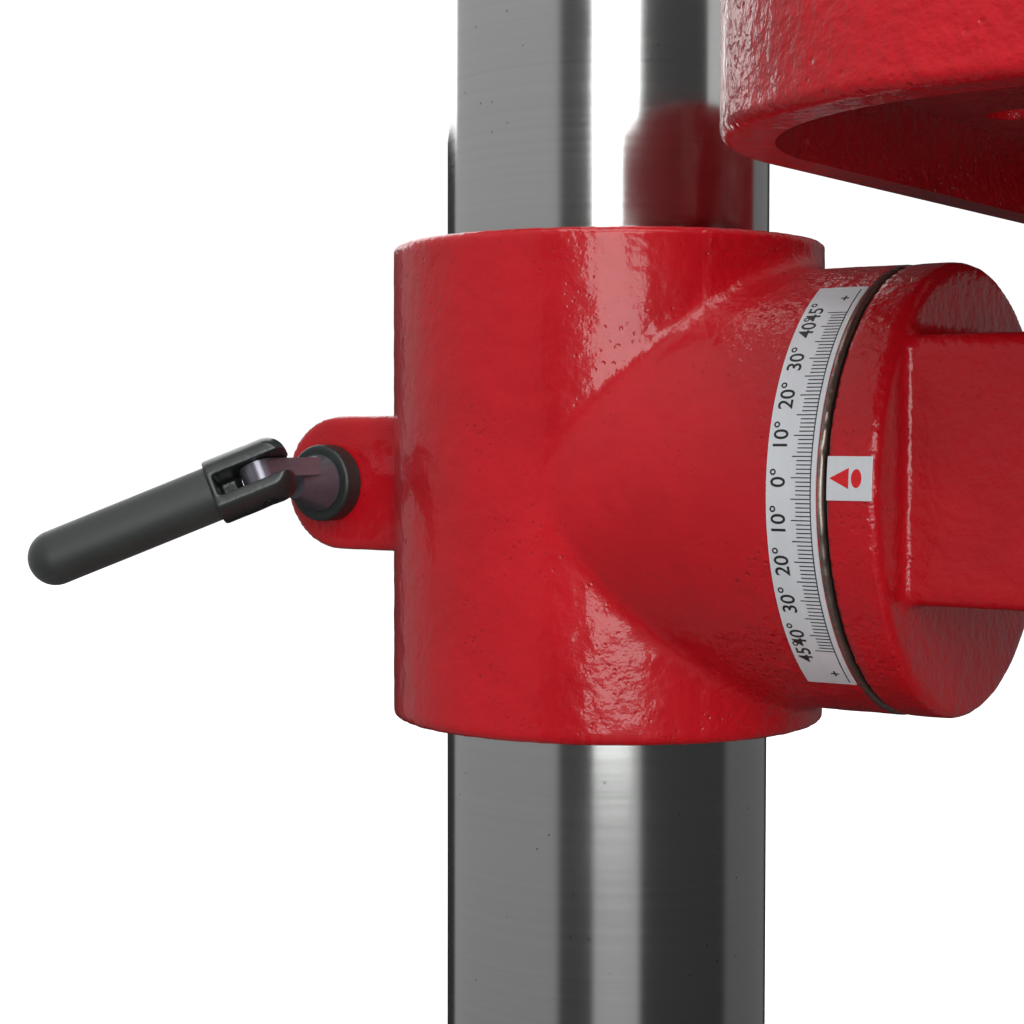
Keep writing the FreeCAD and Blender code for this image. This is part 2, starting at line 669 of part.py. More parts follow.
def bracket_cutters():
    """Slots, slit and side bores of the bracket."""
    side = RACK_WIDTH / 2 + FREE
    rack_way = block((COLUMN_R - 2, rack_outer() + FREE), (-side, side), (BRACKET_BOTTOM, BRACKET_TOP))
    slit = block((-SLIT / 2, SLIT / 2), (COLUMN_R - 2, EAR_REACH + 1), (BRACKET_BOTTOM, BRACKET_TOP))
    clamp = rod(CLAMP_R + FREE, 2 * EAR_HALF_WIDTH, at(-EAR_HALF_WIDTH, CLAMP_Y, 0), X_AXIS)
    bolt = rod(TILT_BOLT_R + RUN, 30, at(0, -BARREL_END + 30, 0), -Y_AXIS)
    centre = lift_axis() - at(0, COLUMN_Y, BRACKET_Z)
    half = LIFT_GEAR_WIDTH / 2 + FREE
    well = rod(RACK_MODULE * (LIFT_TEETH / 2 + 1) + FREE, 2 * half, centre - at(0, half, 0), Y_AXIS)
    pin_half = LIFT_GEAR_WIDTH / 2 + 11
    pin = rod(LIFT_PIN_R + RUN, 2 * pin_half, centre - at(0, pin_half, 0), Y_AXIS)
    start, length = worm_span()
    worm_z = worm_axis_z() - BRACKET_Z
    end = WORM_END + FREE
    worm_well = rod(WORM_PITCH_R + RACK_MODULE + FREE, length + 2 * end, at(start - end, 0, worm_z), X_AXIS)
    journal = rod(CRANK_SHAFT_R + RUN, gearbox_end() - start, at(start, 0, worm_z), X_AXIS)
    return [rack_way, slit, clamp, bolt, well, pin, worm_well, journal]


def scale_label():
    """Curved strip with the tilt scale, wrapped on the barrel's left side."""
    inner = BARREL_R + SEAT / 2
    strip = ring(inner + SCALE_T, inner, SCALE_WIDTH, at(0, -SCALE_FRONT, 0), Y_AXIS)
    reach = 2 * BARREL_R
    top = math.radians(180 - SCALE_ZERO_DEG - SCALE_UP_DEG)
    bottom = math.radians(180 - SCALE_ZERO_DEG + SCALE_DOWN_DEG)
    points = [at(), at(reach * math.cos(top), 0, reach * math.sin(top)),
              at(-2 * reach, 0, 0),
              at(reach * math.cos(bottom), 0, reach * math.sin(bottom))]
    wedge = Part.Face(Part.makePolygon(points + points[:1])).extrude(-Y_AXIS * (SCALE_FRONT + 1))
    label = strip.common(wedge)
    label.translate(bracket_place())
    return label


# ================================================================== clamp lever
def ear_face():
    """Point on the left ear's face where the clamp stud comes out."""
    return bracket_place() + at(-EAR_HALF_WIDTH, CLAMP_Y, 0)


def lever_pivot():
    """Centre of the pin that the lever folds on."""
    return ear_face() + at(-LEVER_PIVOT, 0, LEVER_RAISE)


def placed_lever(shape, fold):
    """From lever axes (x along the lever, z along its pin) to the machine."""
    shape.rotate(at(), Z_AXIS, 180 - fold)
    shape.rotate(at(), X_AXIS, -LEVER_DROOP_DEG)
    shape.translate(lever_pivot())
    return shape


def clamp_stud():
    """Stud through the ears, with a collar, a flared neck and a flat tang for the lever."""
    face = ear_face() - at(FREE, 0, 0)
    shank = rod(CLAMP_R, 2 * EAR_HALF_WIDTH + 16 + FREE, face, X_AXIS)
    collar_front = face - at(STUD_COLLAR_T, 0, 0)
    collar = rod(STUD_COLLAR_R, STUD_COLLAR_T, collar_front, X_AXIS)
    collar = softened(collar, 1.2, lambda edge: abs(edge.CenterOfMass.x - collar_front.x) < 0.01)
    neck = Part.makeCone(3.8, 7.6, 10.0, collar_front - at(10.0, 0, 0), X_AXIS)
    reach = LEVER_PIVOT - FREE - STUD_COLLAR_T
    tang = block((0, reach), (-4.6, 4.6), (-TANG_T / 2, TANG_T / 2))
    eye = rod(4.6, TANG_T, at(0, 0, -TANG_T / 2), Z_AXIS)
    hole = rod(LEVER_PIN_R + RUN, TANG_T, at(0, 0, -TANG_T / 2), Z_AXIS)
    tongue = placed_lever(without(joined(tang, eye), hole), 180)
    return joined(shank, collar, neck, tongue)


def lever_fork():
    """Steel fork of the folding lever, round with two flats."""
    bar = rod(LEVER_FORK_R, LEVER_FORK_LENGTH + LEVER_FORK_R, at(-LEVER_FORK_R, 0, 0), X_AXIS)
    bar = softened(bar, LEVER_FORK_R * 0.6, lambda edge: abs(edge.CenterOfMass.x + LEVER_FORK_R) < 0.01)
    flats = block((-LEVER_FORK_R, LEVER_FORK_LENGTH), (-LEVER_FORK_HALF, LEVER_FORK_HALF),
                  (-LEVER_FORK_R, LEVER_FORK_R))
    core = rod(LEVER_R - LEVER_CORE_WALL, LEVER_CORE_LENGTH + 4, at(LEVER_FORK_LENGTH - 4, 0, 0), X_AXIS)
    half = TANG_T / 2 + FREE
    slot_cut = block((0, LEVER_FORK_LENGTH - 1.6), (LEVER_FORK_WALL - LEVER_FORK_HALF, LEVER_FORK_R),
                     (-half, half))
    way = block((-LEVER_FORK_R - 1, 2), (-LEVER_FORK_R, LEVER_FORK_R), (-half, half))
    relief = rod(LEVER_FORK_RELIEF, 2 * half, at(0, 0, -half), Z_AXIS)
    hole = rod(LEVER_PIN_R + RUN, 2 * LEVER_FORK_R, at(0, 0, -LEVER_FORK_R), Z_AXIS)
    return placed_lever(without(joined(bar.common(flats), core), slot_cut, way, relief, hole), LEVER_FOLD_DEG)


def lever_pin():
    """Pin that joins the fork to the stud."""
    length = 2 * LEVER_FORK_R - 1
    return placed_lever(rod(LEVER_PIN_R, length, at(0, 0, -length / 2), Z_AXIS), LEVER_FOLD_DEG)


def lever_grip():
    """Round-ended sleeve on the lever."""
    start = LEVER_FORK_LENGTH
    straight = rod(LEVER_R, LEVER_LENGTH - start - LEVER_R, at(start, 0, 0), X_AXIS)
    tip = Part.makeSphere(LEVER_R, at(LEVER_LENGTH - LEVER_R, 0, 0))
    hole = rod(LEVER_R - LEVER_CORE_WALL + RUN, LEVER_CORE_LENGTH + SEAT, at(start, 0, 0), X_AXIS)
    return placed_lever(without(joined(straight, tip), hole), LEVER_FOLD_DEG)


def clamp_nut():
    """Nut on the far end of the clamp stud."""
    start = bracket_place() + at(EAR_HALF_WIDTH + SEAT, CLAMP_Y, 0)
    washer = rod(11, 2, start, X_AXIS)
    nut = hexagon(18, 10, start + at(2, 0, 0), X_AXIS)
    return joined(washer, nut).cut(rod(CLAMP_R + RUN, 12, start, X_AXIS))


# ================================================================== arm and table
def table_arm():
    """Arm that tilts on the barrel: round flange, hollow block and the table's hub."""
    rear = BARREL_END + ARM_FLANGE_GAP
    flange = rod(BARREL_R, ARM_FLANGE_FRONT - rear, at(0, -ARM_FLANGE_FRONT, 0), Y_AXIS)
    flange = softened(flange, 2.0, lambda edge: abs(edge.CenterOfMass.y + ARM_FLANGE_FRONT) < 0.01)
    beam = block((-ARM_HALF_WIDTH, ARM_HALF_WIDTH), (-THROAT, -rear - 4), (ARM_BOTTOM, ARM_TOP))
    beam = softened(beam, 3.0, lambda edge: abs(abs(edge.CenterOfMass.x) - ARM_HALF_WIDTH) < 0.01
                    and edge.BoundBox.YLength > 50)
    hub = rod(ARM_HUB_R, hub_top() - ARM_BOTTOM, at(0, -THROAT, ARM_BOTTOM), Z_AXIS)
    body = joined(flange, beam, hub)
    hollow = block((-ARM_HALF_WIDTH + ARM_WALL, ARM_HALF_WIDTH - ARM_WALL),
                   (-THROAT + ARM_HUB_R, -ARM_FLANGE_FRONT - 3), (ARM_BOTTOM, ARM_TOP - ARM_WALL))
    bolt = rod(TILT_BOLT_R + FREE, 40, at(0, -rear + 1, 0), -Y_AXIS)
    bore = rod(TABLE_STEM_R + 2 * RUN, hub_top() - ARM_BOTTOM, at(0, -THROAT, ARM_BOTTOM), Z_AXIS)
    lock = rod(LOCK_SCREW_R + RUN, 30, at(-TABLE_STEM_R, -THROAT, LOCK_Z), -X_AXIS)
    body = without(body, hollow, bolt, bore, lock)
    body.translate(bracket_place())
    return body


def hub_top():
    """Top of the arm's hub above the tilt axis."""
    return TABLE_TOP - TABLE_PLATE - TABLE_HUB_H - FREE


def tilt_bolt():
    """Large hex bolt that clamps the arm's flange to the barrel."""
    face = -ARM_FLANGE_FRONT - 3 - SEAT
    shank = rod(TILT_BOLT_R, 42, at(0, face, 0), Y_AXIS)
    washer = rod(15, 2.5, at(0, face, 0), -Y_AXIS)
    head = hexagon(TILT_BOLT_AF, 10, at(0, face - 2.5, 0), -Y_AXIS)
    bolt = joined(shank, washer, head)
    bolt.translate(bracket_place())
    return bolt


def table():
    """Square table with a deep rim, round corners, four slots and its stem."""
    centre_y = -THROAT
    body = plate(TABLE_SIZE, TABLE_SIZE, TABLE_CORNER, 0, centre_y, (TABLE_LIP, TABLE_TOP))
    body = softened(body, 1.5, level_at(TABLE_TOP))
    body = softened(body, 2.5, level_at(TABLE_LIP))
    inside = TABLE_SIZE - 2 * TABLE_RIM
    under = TABLE_TOP - TABLE_PLATE
    hollow = plate(inside, inside, TABLE_CORNER - TABLE_RIM, 0, centre_y, (TABLE_LIP, under))
    hub = rod(ARM_HUB_R, TABLE_HUB_H, at(0, centre_y, under - TABLE_HUB_H), Z_AXIS)
    stem = rod(TABLE_STEM_R, under - ARM_BOTTOM, at(0, centre_y, ARM_BOTTOM), Z_AXIS)
    ribs = [turned(block((ARM_HUB_R - 4, inside / 2 + 2), (centre_y - 3, centre_y + 3),
                         (under - TABLE_HUB_H, under + 1)),
                   at(0, centre_y, 0), Z_AXIS, 45 + 90 * number) for number in range(4)]
    body = joined(body.cut(hollow), hub, stem, *ribs)
    length = TABLE_SIZE / 2 - TABLE_RIM - 8 - TABLE_SLOT_INNER
    middle = TABLE_SLOT_INNER + length / 2
    first = slot(TABLE_SLOT_WIDTH, length, at(0, centre_y + middle, TABLE_LIP), TABLE_TOP - TABLE_LIP)
    slots = [turned(first, at(0, centre_y, 0), Z_AXIS, 90 * number) for number in range(4)]
    bore = rod(TABLE_BORE_R, TABLE_TOP - ARM_BOTTOM, at(0, centre_y, ARM_BOTTOM), Z_AXIS)
    body = without(body, *slots, bore)
    body.translate(bracket_place())
    return body


def table_lock():
    """T-handled screw that locks the table's stem in the arm."""
    start = at(-TABLE_STEM_R - FREE, -THROAT, LOCK_Z)
    screw = rod(LOCK_SCREW_R, 44, start, -X_AXIS)
    head = rod(8, 12, start - at(40, 0, 0), -X_AXIS)
    bar = rod(3, 2 * LOCK_BAR_HALF, start - at(46, LOCK_BAR_HALF, 0), Y_AXIS)
    ends = [Part.makeSphere(5, start - at(46, y, 0)) for y in (-LOCK_BAR_HALF, LOCK_BAR_HALF)]
    body = joined(screw, head, bar, *ends)
    body.translate(bracket_place())
    return body


# ================================================================== head and quill
def feed_y():
    """Distance of the feed pinion's axis along Y."""
    return SPINDLE_Y + quill_pitch() + FEED_MODULE * FEED_TEETH / 2


def quill_pitch():
    """Distance of the quill rack's pitch line behind the spindle axis."""
    return QUILL_R - 1.5 - 0.9 * FEED_MODULE


def head_casting():
    """Head: column boss, quill barrel, web, top flange and side bosses."""
    column_boss = rod(HEAD_COLUMN_R, HEAD_HEIGHT, at(0, COLUMN_Y, HEAD_Z), Z_AXIS)
    barrel = rod(HEAD_QUILL_R, HEAD_HEIGHT, at(0, SPINDLE_Y, HEAD_Z), Z_AXIS)
    web_foot = HEAD_Z + HEAD_STEP
    web = block((-HEAD_WEB_HALF, HEAD_WEB_HALF), (SPINDLE_Y, COLUMN_Y), (web_foot, HEAD_TOP))
    body = joined(column_boss, barrel, web)
    body = softened(body, 3.0, lambda edge: level_at(HEAD_Z)(edge) or level_at(web_foot)(edge))
    cap = plate(2 * HEAD_CAP_HALF, THROAT + 2 * HEAD_CAP_HALF, 40.0, 0, (SPINDLE_Y + COLUMN_Y) / 2,
                (HEAD_TOP - HEAD_CAP_T, HEAD_TOP))
    cap = softened(cap, 4.0, level_at(HEAD_TOP - HEAD_CAP_T))
    feed_boss = rod(FEED_BOSS_R, FEED_HUB_X - 3, at(0, feed_y(), FEED_Z), X_AXIS)
    spring_boss = rod(SPRING_CAP_R, SPRING_BOSS_REACH, at(0, feed_y(), FEED_Z), -X_AXIS)
    lug = block((-STOP_X - STOP_LUG_R, 0), (stop_y() - STOP_LUG_R, stop_y() + STOP_LUG_R),
                (STOP_LUG_Z, STOP_LUG_Z + STOP_LUG_T))
    lug = softened(lug, 8.0, lambda edge: upright(edge) and edge.CenterOfMass.x < -STOP_X)
    pad = block((-SWITCH_WIDTH / 2, SWITCH_WIDTH / 2), (switch_back(), SPINDLE_Y),
                (switch_z() - 6, switch_z() + SWITCH_HEIGHT + 6))
    pad = softened(pad, 4.0, lambda edge: edge.CenterOfMass.y < switch_back() + 0.01)
    body = joined(body, cap, feed_boss, spring_boss, lug, pad)
    return without(body, *head_cutters())


def head_cutters():
    """Bores and hollows of the head."""
    column_way = rod(COLUMN_R + RUN, HEAD_HEIGHT - 20, at(0, COLUMN_Y, HEAD_Z), Z_AXIS)
    quill_way = rod(QUILL_R + RUN, HEAD_HEIGHT, at(0, SPINDLE_Y, HEAD_Z), Z_AXIS)
    gear_r = FEED_MODULE * (FEED_TEETH / 2 + 1) + 0.5
    half = HEAD_WEB_HALF - 12
    gear_way = rod(gear_r, 2 * half, at(-half, feed_y(), FEED_Z), X_AXIS)
    shaft_way = rod(FEED_SHAFT_R + RUN, 140, at(-60, feed_y(), FEED_Z), X_AXIS)
    hollow = block((-half, half), (feed_y() + gear_r + 12, COLUMN_Y - HEAD_COLUMN_R - 2),
                   (HEAD_Z + HEAD_STEP, HEAD_TOP - HEAD_CAP_T))
    rod_way = rod(STOP_ROD_R + FREE, STOP_LUG_T, at(-STOP_X, stop_y(), STOP_LUG_Z), Z_AXIS)
    idler_way = rod(IDLER_SHAFT_R + RUN, 40, at(0, IDLER_Y, HEAD_TOP - 40), Z_AXIS)
    bars = [rod(SLIDE_BAR_R + RUN, 60, at(x, COLUMN_Y + COLUMN_R + 3, slide_bar_z()), Y_AXIS)
            for x in (-SLIDE_BAR_X, SLIDE_BAR_X)]
    screws = [rod(GRUB_SCREW_R, 30, at(COLUMN_R - 5, COLUMN_Y, HEAD_Z + z), X_AXIS)
              for z in HEAD_SCREW_HEIGHTS]
    return column_way, quill_way, gear_way, shaft_way, hollow, rod_way, idler_way, *bars, *screws


def grub_screws():
    """Grub screws that hold the head and the rack collar on the column."""
    height = RACK_TOP_Z + FREE - RACK_END_DEPTH + COLLAR_HEIGHT - COLLAR_SCREW_DROP
    length = SOCKET_LIP_R - COLUMN_R - 1
    collar = socket_screw(at(0, COLUMN_Y - COLUMN_R - SEAT, height), length, -Y_AXIS)
    head = [socket_screw(at(COLUMN_R + SEAT, COLUMN_Y, HEAD_Z + z), length, X_AXIS)
            for z in HEAD_SCREW_HEIGHTS]
    return group([collar] + head)


def quill():
    """Sleeve that carries the spindle, with rack teeth down its back."""
    foot = at(0, SPINDLE_Y, QUILL_BOTTOM)
    body = rod(QUILL_R, QUILL_LENGTH, foot, Z_AXIS)
    body = softened(body, 1.2, level_at(QUILL_BOTTOM))
    bore = rod(QUILL_BORE_R, QUILL_LENGTH, foot, Z_AXIS)
    flat = block((-FEED_TEETH / 2 - 3, FEED_TEETH / 2 + 3), (QUILL_R - 1.5, QUILL_R + 1),
                 (FEED_Z - 26, FEED_Z + QUILL_TRAVEL + 26))
    flat.translate(at(0, SPINDLE_Y, 0))
    teeth = rack_teeth(FEED_MODULE, FEED_Z - 22, FEED_Z + QUILL_TRAVEL + 22, FEED_Z, FEED_TEETH + 6,
                       GEAR_PLAY)
    cutters = []
    for tool in teeth:
        tool.rotate(at(), Z_AXIS, 90)
        tool.translate(at(0, SPINDLE_Y + quill_pitch(), 0))
        cutters.append(tool)
    return without(body, bore, flat, *cutters)


def quill_bearings():
    """Ball bearings at both ends of the quill."""
    places = (QUILL_BOTTOM + 4, QUILL_BOTTOM + QUILL_LENGTH - 4 - BEARING_H)
    bearings = []
    for z in places:
        foot = at(0, SPINDLE_Y, z)
        outer = ring(QUILL_BORE_R - RUN, QUILL_BORE_R - 4, BEARING_H, foot, Z_AXIS)
        seal = ring(QUILL_BORE_R - 3.9, SPINDLE_R + 6, BEARING_H - 2, foot + at(0, 0, 1), Z_AXIS)
        inner = ring(SPINDLE_R + 6.1, spindle_seat_r() + RUN, BEARING_H, foot, Z_AXIS)
        bearings.append(joined(outer, seal, inner))
    return group(bearings)


def spindle_seat_r():
    """Radius of the spindle inside its bearings."""
    return SPINDLE_R + 3.5


def spindle():
    """Splined spindle with its nose taper."""
    lower = rod(spindle_seat_r(), QUILL_LENGTH + 2, at(0, SPINDLE_Y, QUILL_BOTTOM), Z_AXIS)
    quill_top = QUILL_BOTTOM + QUILL_LENGTH
    upper = rod(SPINDLE_R, SPINDLE_TOP - quill_top, at(0, SPINDLE_Y, quill_top), Z_AXIS)
    collar = rod(spindle_seat_r() + 3, 5, at(0, SPINDLE_Y, QUILL_BOTTOM - 5), Z_AXIS)
    nose = spindle_taper(0.0)
    body = joined(lower, upper, collar, nose)
    return without(body, *spline_blocks(2.4, SPINDLE_R - 1.2, SPINDLE_R + 1, (quill_top + 4, SPINDLE_TOP)))


def spindle_taper(play):
    """Cone that the chuck seats on, wider all round by the play."""
    height = QUILL_BOTTOM - 5 - CHUCK_TOP + TAPER_DEPTH
    foot = at(0, SPINDLE_Y, CHUCK_TOP - TAPER_DEPTH)
    return Part.makeCone(TAPER_END_R + play, TAPER_TOP_R + play, height, foot, Z_AXIS)


def spline_blocks(width, inner, outer, z):
    """Ring of small blocks round the spindle axis."""
    one = block((inner, outer), (SPINDLE_Y - width / 2, SPINDLE_Y + width / 2), z)
    return [turned(one, at(0, SPINDLE_Y, 0), Z_AXIS, 360 * number / SPLINE_COUNT)
            for number in range(SPLINE_COUNT)]


def feed_shaft():
    """Pinion shaft across the head."""
    half = HEAD_WEB_HALF - 14
    teeth = gear(FEED_MODULE, FEED_TEETH, FEED_TEETH + 4, GEAR_PLAY)
    teeth.translate(at(0, 0, -FEED_TEETH / 2 - 2))
    teeth.rotate(at(), Y_AXIS, 90)
    core = rod(FEED_MODULE * FEED_TEETH / 2 - 2.4, 2 * half, at(-half, 0, 0), X_AXIS)
    left = 60 + SPRING_CAP_LENGTH - 8
    shaft = rod(FEED_SHAFT_R, left + FEED_HUB_X + 20, at(-left, 0, 0), X_AXIS)
    body = joined(teeth, core, shaft)
    body.translate(at(0, feed_y(), FEED_Z))
    return body


def feed_hub():
    """Hub on the pinion shaft that carries the three handles."""
    start = at(FEED_HUB_X, 0, 0)
    body = rod(FEED_HUB_R, FEED_HUB_LENGTH, start, X_AXIS)
    body = softened(body, 2.5, lambda edge: edge.BoundBox.XLength < 0.001)
    dome = rod(FEED_HUB_R - 7, 5, start + at(FEED_HUB_LENGTH, 0, 0), X_AXIS)
    dome = softened(dome, 2.0, lambda edge: edge.CenterOfMass.x > FEED_HUB_X + FEED_HUB_LENGTH + 4.9)
    body = joined(body, dome)
    bore = rod(FEED_SHAFT_R + RUN, 20 + SEAT, start, X_AXIS)
    holes = [handle_rod(HANDLE_R + RUN, 0, FEED_HUB_R, number) for number in range(HANDLE_COUNT)]
    body = without(body, bore, *holes)
    body.translate(at(0, feed_y(), FEED_Z))
    return body


def handle_rod(radius, skip, length, number):
    """Cylinder along a feed handle, seated in the hub's rim."""
    foot = handle_foot()
    body = rod(radius, length, at(0, 0, foot + skip), Z_AXIS)
    body.rotate(at(0, 0, foot), Y_AXIS, HANDLE_LEAN_DEG)
    body.translate(at(FEED_HUB_X + FEED_HUB_LENGTH / 2, 0, 0))
    body.rotate(at(), X_AXIS, 360 * number / HANDLE_COUNT + 20)
    return body


def handle_foot():
    """Distance of a handle's seat from the pinion shaft's axis."""
    return FEED_SHAFT_R + 2.5


def feed_handles():
    """Three steel handles."""
    rods = [handle_rod(HANDLE_R, SEAT, HANDLE_LENGTH, number) for number in range(HANDLE_COUNT)]
    return group([moved(shape, at(0, feed_y(), FEED_Z)) for shape in rods])


def feed_knobs():
    """Round knobs on the handles."""
    knobs = []
    foot = handle_foot()
    for number in range(HANDLE_COUNT):
        tip = foot + HANDLE_LENGTH + 2
        ball = Part.makeSphere(KNOB_R, at(0, 0, tip))
        skirt = Part.makeCone(9.0, 12.5, 14, at(0, 0, tip - KNOB_R - 4), Z_AXIS)
        hole = rod(HANDLE_R + RUN, 40, at(0, 0, tip - 42 + SEAT), Z_AXIS)
        knob = joined(ball, skirt).cut(hole)
        knob.rotate(at(0, 0, foot), Y_AXIS, HANDLE_LEAN_DEG)
        knob.translate(at(FEED_HUB_X + FEED_HUB_LENGTH / 2, 0, 0))
        knob.rotate(at(), X_AXIS, 360 * number / HANDLE_COUNT + 20)
        knob.translate(at(0, feed_y(), FEED_Z))
        knobs.append(knob)
    return group(knobs)


def spring_cap():
    """Cup on the left of the head that holds the return spring."""
    start = at(-SPRING_BOSS_REACH - SEAT, feed_y(), FEED_Z)
    body = rod(SPRING_CAP_R, SPRING_CAP_LENGTH, start, -X_AXIS)
    body = softened(body, 3.0, lambda edge: edge.CenterOfMass.x < start.x - SPRING_CAP_LENGTH + 0.01)
    hollow = rod(SPRING_CAP_R - 3, SPRING_CAP_LENGTH - 5, start, -X_AXIS)
    shaft = rod(FEED_SHAFT_R + FREE, SPRING_CAP_LENGTH, start, -X_AXIS)
    end = start.x - SPRING_CAP_LENGTH
    notch = block((end, end + 8), (feed_y() - 3, feed_y() + 3),
                  (FEED_Z + SPRING_CAP_R - 3, FEED_Z + SPRING_CAP_R + 1))
    notches = [turned(notch, start, X_AXIS, 60 * number) for number in range(6)]
    return without(body, hollow, shaft, *notches)


def return_spring():
    """Spiral spring that lifts the quill."""
    inner = FEED_SHAFT_R + FREE
    turns = int((SPRING_CAP_R - 4 - inner - SPRING_STRIP) / SPRING_PITCH)
    outlines = []
    for extra in (0.0, SPRING_STRIP):
        arcs = []
        for number in range(2 * turns):
            sign = 1 if number % 2 == 0 else -1
            radius = inner + extra + (number + 0.5) * SPRING_PITCH / 2
            middle = -sign * SPRING_PITCH / 4
            ends = [at(middle + sign * radius, 0), at(middle - sign * radius, 0)]
            arcs.append(Part.Arc(ends[0], at(middle, sign * radius), ends[1]))
        outlines.append([arc.toShape() for arc in arcs])
    first, last = outlines
    caps = [Part.makeLine(first[0].Vertexes[0].Point, last[0].Vertexes[0].Point),
            Part.makeLine(first[-1].Vertexes[-1].Point, last[-1].Vertexes[-1].Point)]
    face = Part.Face(Part.Wire(Part.__sortEdges__(first + last + caps)))
    coil = face.extrude(Z_AXIS * (SPRING_CAP_LENGTH - 12))
    coil.rotate(at(), Y_AXIS, -90)
    coil.translate(at(-SPRING_BOSS_REACH - 4, feed_y(), FEED_Z))
    return coil


def stop_y():
    """Depth rod's distance along Y, clear of the spring cap."""
    return feed_y() - SPRING_CAP_R - STOP_NUT_R - STOP_NUT_GAP


def stop_ring():
    """Clamp ring on the quill's nose that carries the depth rod."""
    z = QUILL_BOTTOM + 2
    clamp = rod(QUILL_R + 8, 15, at(0, SPINDLE_Y, z), Z_AXIS)
    clamp = softened(clamp, 1.5, lambda edge: edge.BoundBox.ZLength < 0.001)
    arm = block((-STOP_X, 0), (stop_y() - STOP_EYE_R, stop_y() + STOP_EYE_R), (z, z + 12))
    eye = rod(STOP_EYE_R, 12, at(-STOP_X, stop_y(), z), Z_AXIS)
    bore = rod(QUILL_R + RUN, 15, at(0, SPINDLE_Y, z), Z_AXIS)
    hole = rod(STOP_ROD_R + RUN, 12, at(-STOP_X, stop_y(), z), Z_AXIS)
    split = block((QUILL_R - 2, QUILL_R + 9), (SPINDLE_Y - 1, SPINDLE_Y + 1), (z, z + 15))
    return without(joined(clamp, arm, eye), bore, hole, split)


def stop_nut_z():
    """Underside of the lower depth nut at rest."""
    return STOP_LUG_Z + STOP_LUG_T + QUILL_TRAVEL + FREE


def stop_rod():
    """Threaded depth rod, grooved like a thread."""
    z = QUILL_BOTTOM - 4
    length = stop_nut_z() + 30 - z
    body = rod(STOP_ROD_R, length, at(-STOP_X, stop_y(), z), Z_AXIS)
    body = softened(body, 1.0, lambda edge: edge.BoundBox.ZLength < 0.001)
    head = hexagon(15, 5, at(-STOP_X, stop_y(), z - 1), Z_AXIS)
    return joined(body, head)


def stop_nuts():
    """Depth nut and its lock nut."""
    nuts = []
    for z, height in ((stop_nut_z(), 10), (stop_nut_z() + 10 + SEAT, 6)):
        centre = at(-STOP_X, stop_y(), z)
        nut = rod(STOP_NUT_R, height, centre, Z_AXIS)
        notch = rod(1.6, height, centre + at(STOP_NUT_R + 0.4, 0, 0), Z_AXIS)
        notches = [turned(notch, centre, Z_AXIS, 30 * number) for number in range(12)]
        nuts.append(without(nut, rod(STOP_ROD_R + RUN, height, centre, Z_AXIS), *notches))
    return group(nuts)


# ================================================================== chuck
def chuck_body():
    """Body of the drill chuck with its taper bore and three jaw ways."""
    top = at(0, SPINDLE_Y, CHUCK_TOP)
    upper = rod(CHUCK_R, CHUCK_LENGTH * 0.62, top, -Z_AXIS)
    upper = softened(upper, 2.0, level_at(CHUCK_TOP))
    nose = Part.makeCone(CHUCK_R - 3, 13.5, CHUCK_LENGTH * 0.38, top - at(0, 0, CHUCK_LENGTH * 0.62), -Z_AXIS)
    mouth = rod(JAW_OPEN_R + 4, 34, top - at(0, 0, CHUCK_LENGTH), Z_AXIS)
    ways = [jaw_rod(JAW_R + FREE, 60, number) for number in range(3)]
    return without(joined(upper, nose), spindle_taper(RUN), mouth, *ways)


def jaw_rod(radius, length, number):
    """Cylinder along one jaw, leaning towards the drill."""
    tip = at(JAW_OPEN_R + JAW_R, 0, CHUCK_TOP - CHUCK_LENGTH - 6)
    body = rod(radius, length, tip, Z_AXIS)
    body.rotate(tip, Y_AXIS, JAW_LEAN_DEG)
    body.rotate(at(), Z_AXIS, 120 * number)
    body.translate(at(0, SPINDLE_Y, 0))
    return body


def chuck_jaw(number):
    """One hardened jaw with a vertical gripping face."""
    body = jaw_rod(JAW_R, 36, number)
    core = rod(JAW_OPEN_R, 80, at(0, SPINDLE_Y, CHUCK_TOP - CHUCK_LENGTH - 20), Z_AXIS)
    return body.cut(core)


def chuck_sleeve():
    """Toothed key sleeve round the chuck."""
    z = CHUCK_TOP - CHUCK_LENGTH * 0.66
    height = CHUCK_LENGTH * 0.36
    body = rod(CHUCK_SLEEVE_R, height, at(0, SPINDLE_Y, z), Z_AXIS)
    body = softened(body, 1.5, level_at(z + height))
    space = block((CHUCK_R + 0.5, CHUCK_SLEEVE_R + 1), (SPINDLE_Y - 1.2, SPINDLE_Y + 1.2), (z, z + 4))
    teeth = [turned(space, at(0, SPINDLE_Y, 0), Z_AXIS, 12 * number) for number in range(30)]
    return without(body, rod(CHUCK_R + RUN, height, at(0, SPINDLE_Y, z), Z_AXIS), *teeth)


# ================================================================== pulleys and belts
def step_pulley(steps, centre_y, z, bore_r):
    """Step pulley with one V groove on each step."""
    points = [at(bore_r, 0, 0)]
    for number, radius in enumerate(steps):
        low = number * STEP_H
        middle = low + STEP_H / 2
        rim = 1.6
        bottom = radius - BELT_DROP - BELT_T - 2.0
        points += [at(radius, 0, low), at(radius, 0, low + rim),
                   at(bottom, 0, middle - 2.6), at(bottom, 0, middle + 2.6),
                   at(radius, 0, low + STEP_H - rim), at(radius, 0, low + STEP_H)]
    points.append(at(bore_r, 0, STEP_H * len(steps)))
    body = Part.Face(Part.makePolygon(points + points[:1])).revolve(at(), Z_AXIS, 360)
    body.translate(at(0, centre_y, z))
    return body


def pulleys_top():
    """Top face of the three pulleys."""
    return PULLEY_Z + len(SPINDLE_STEPS) * STEP_H


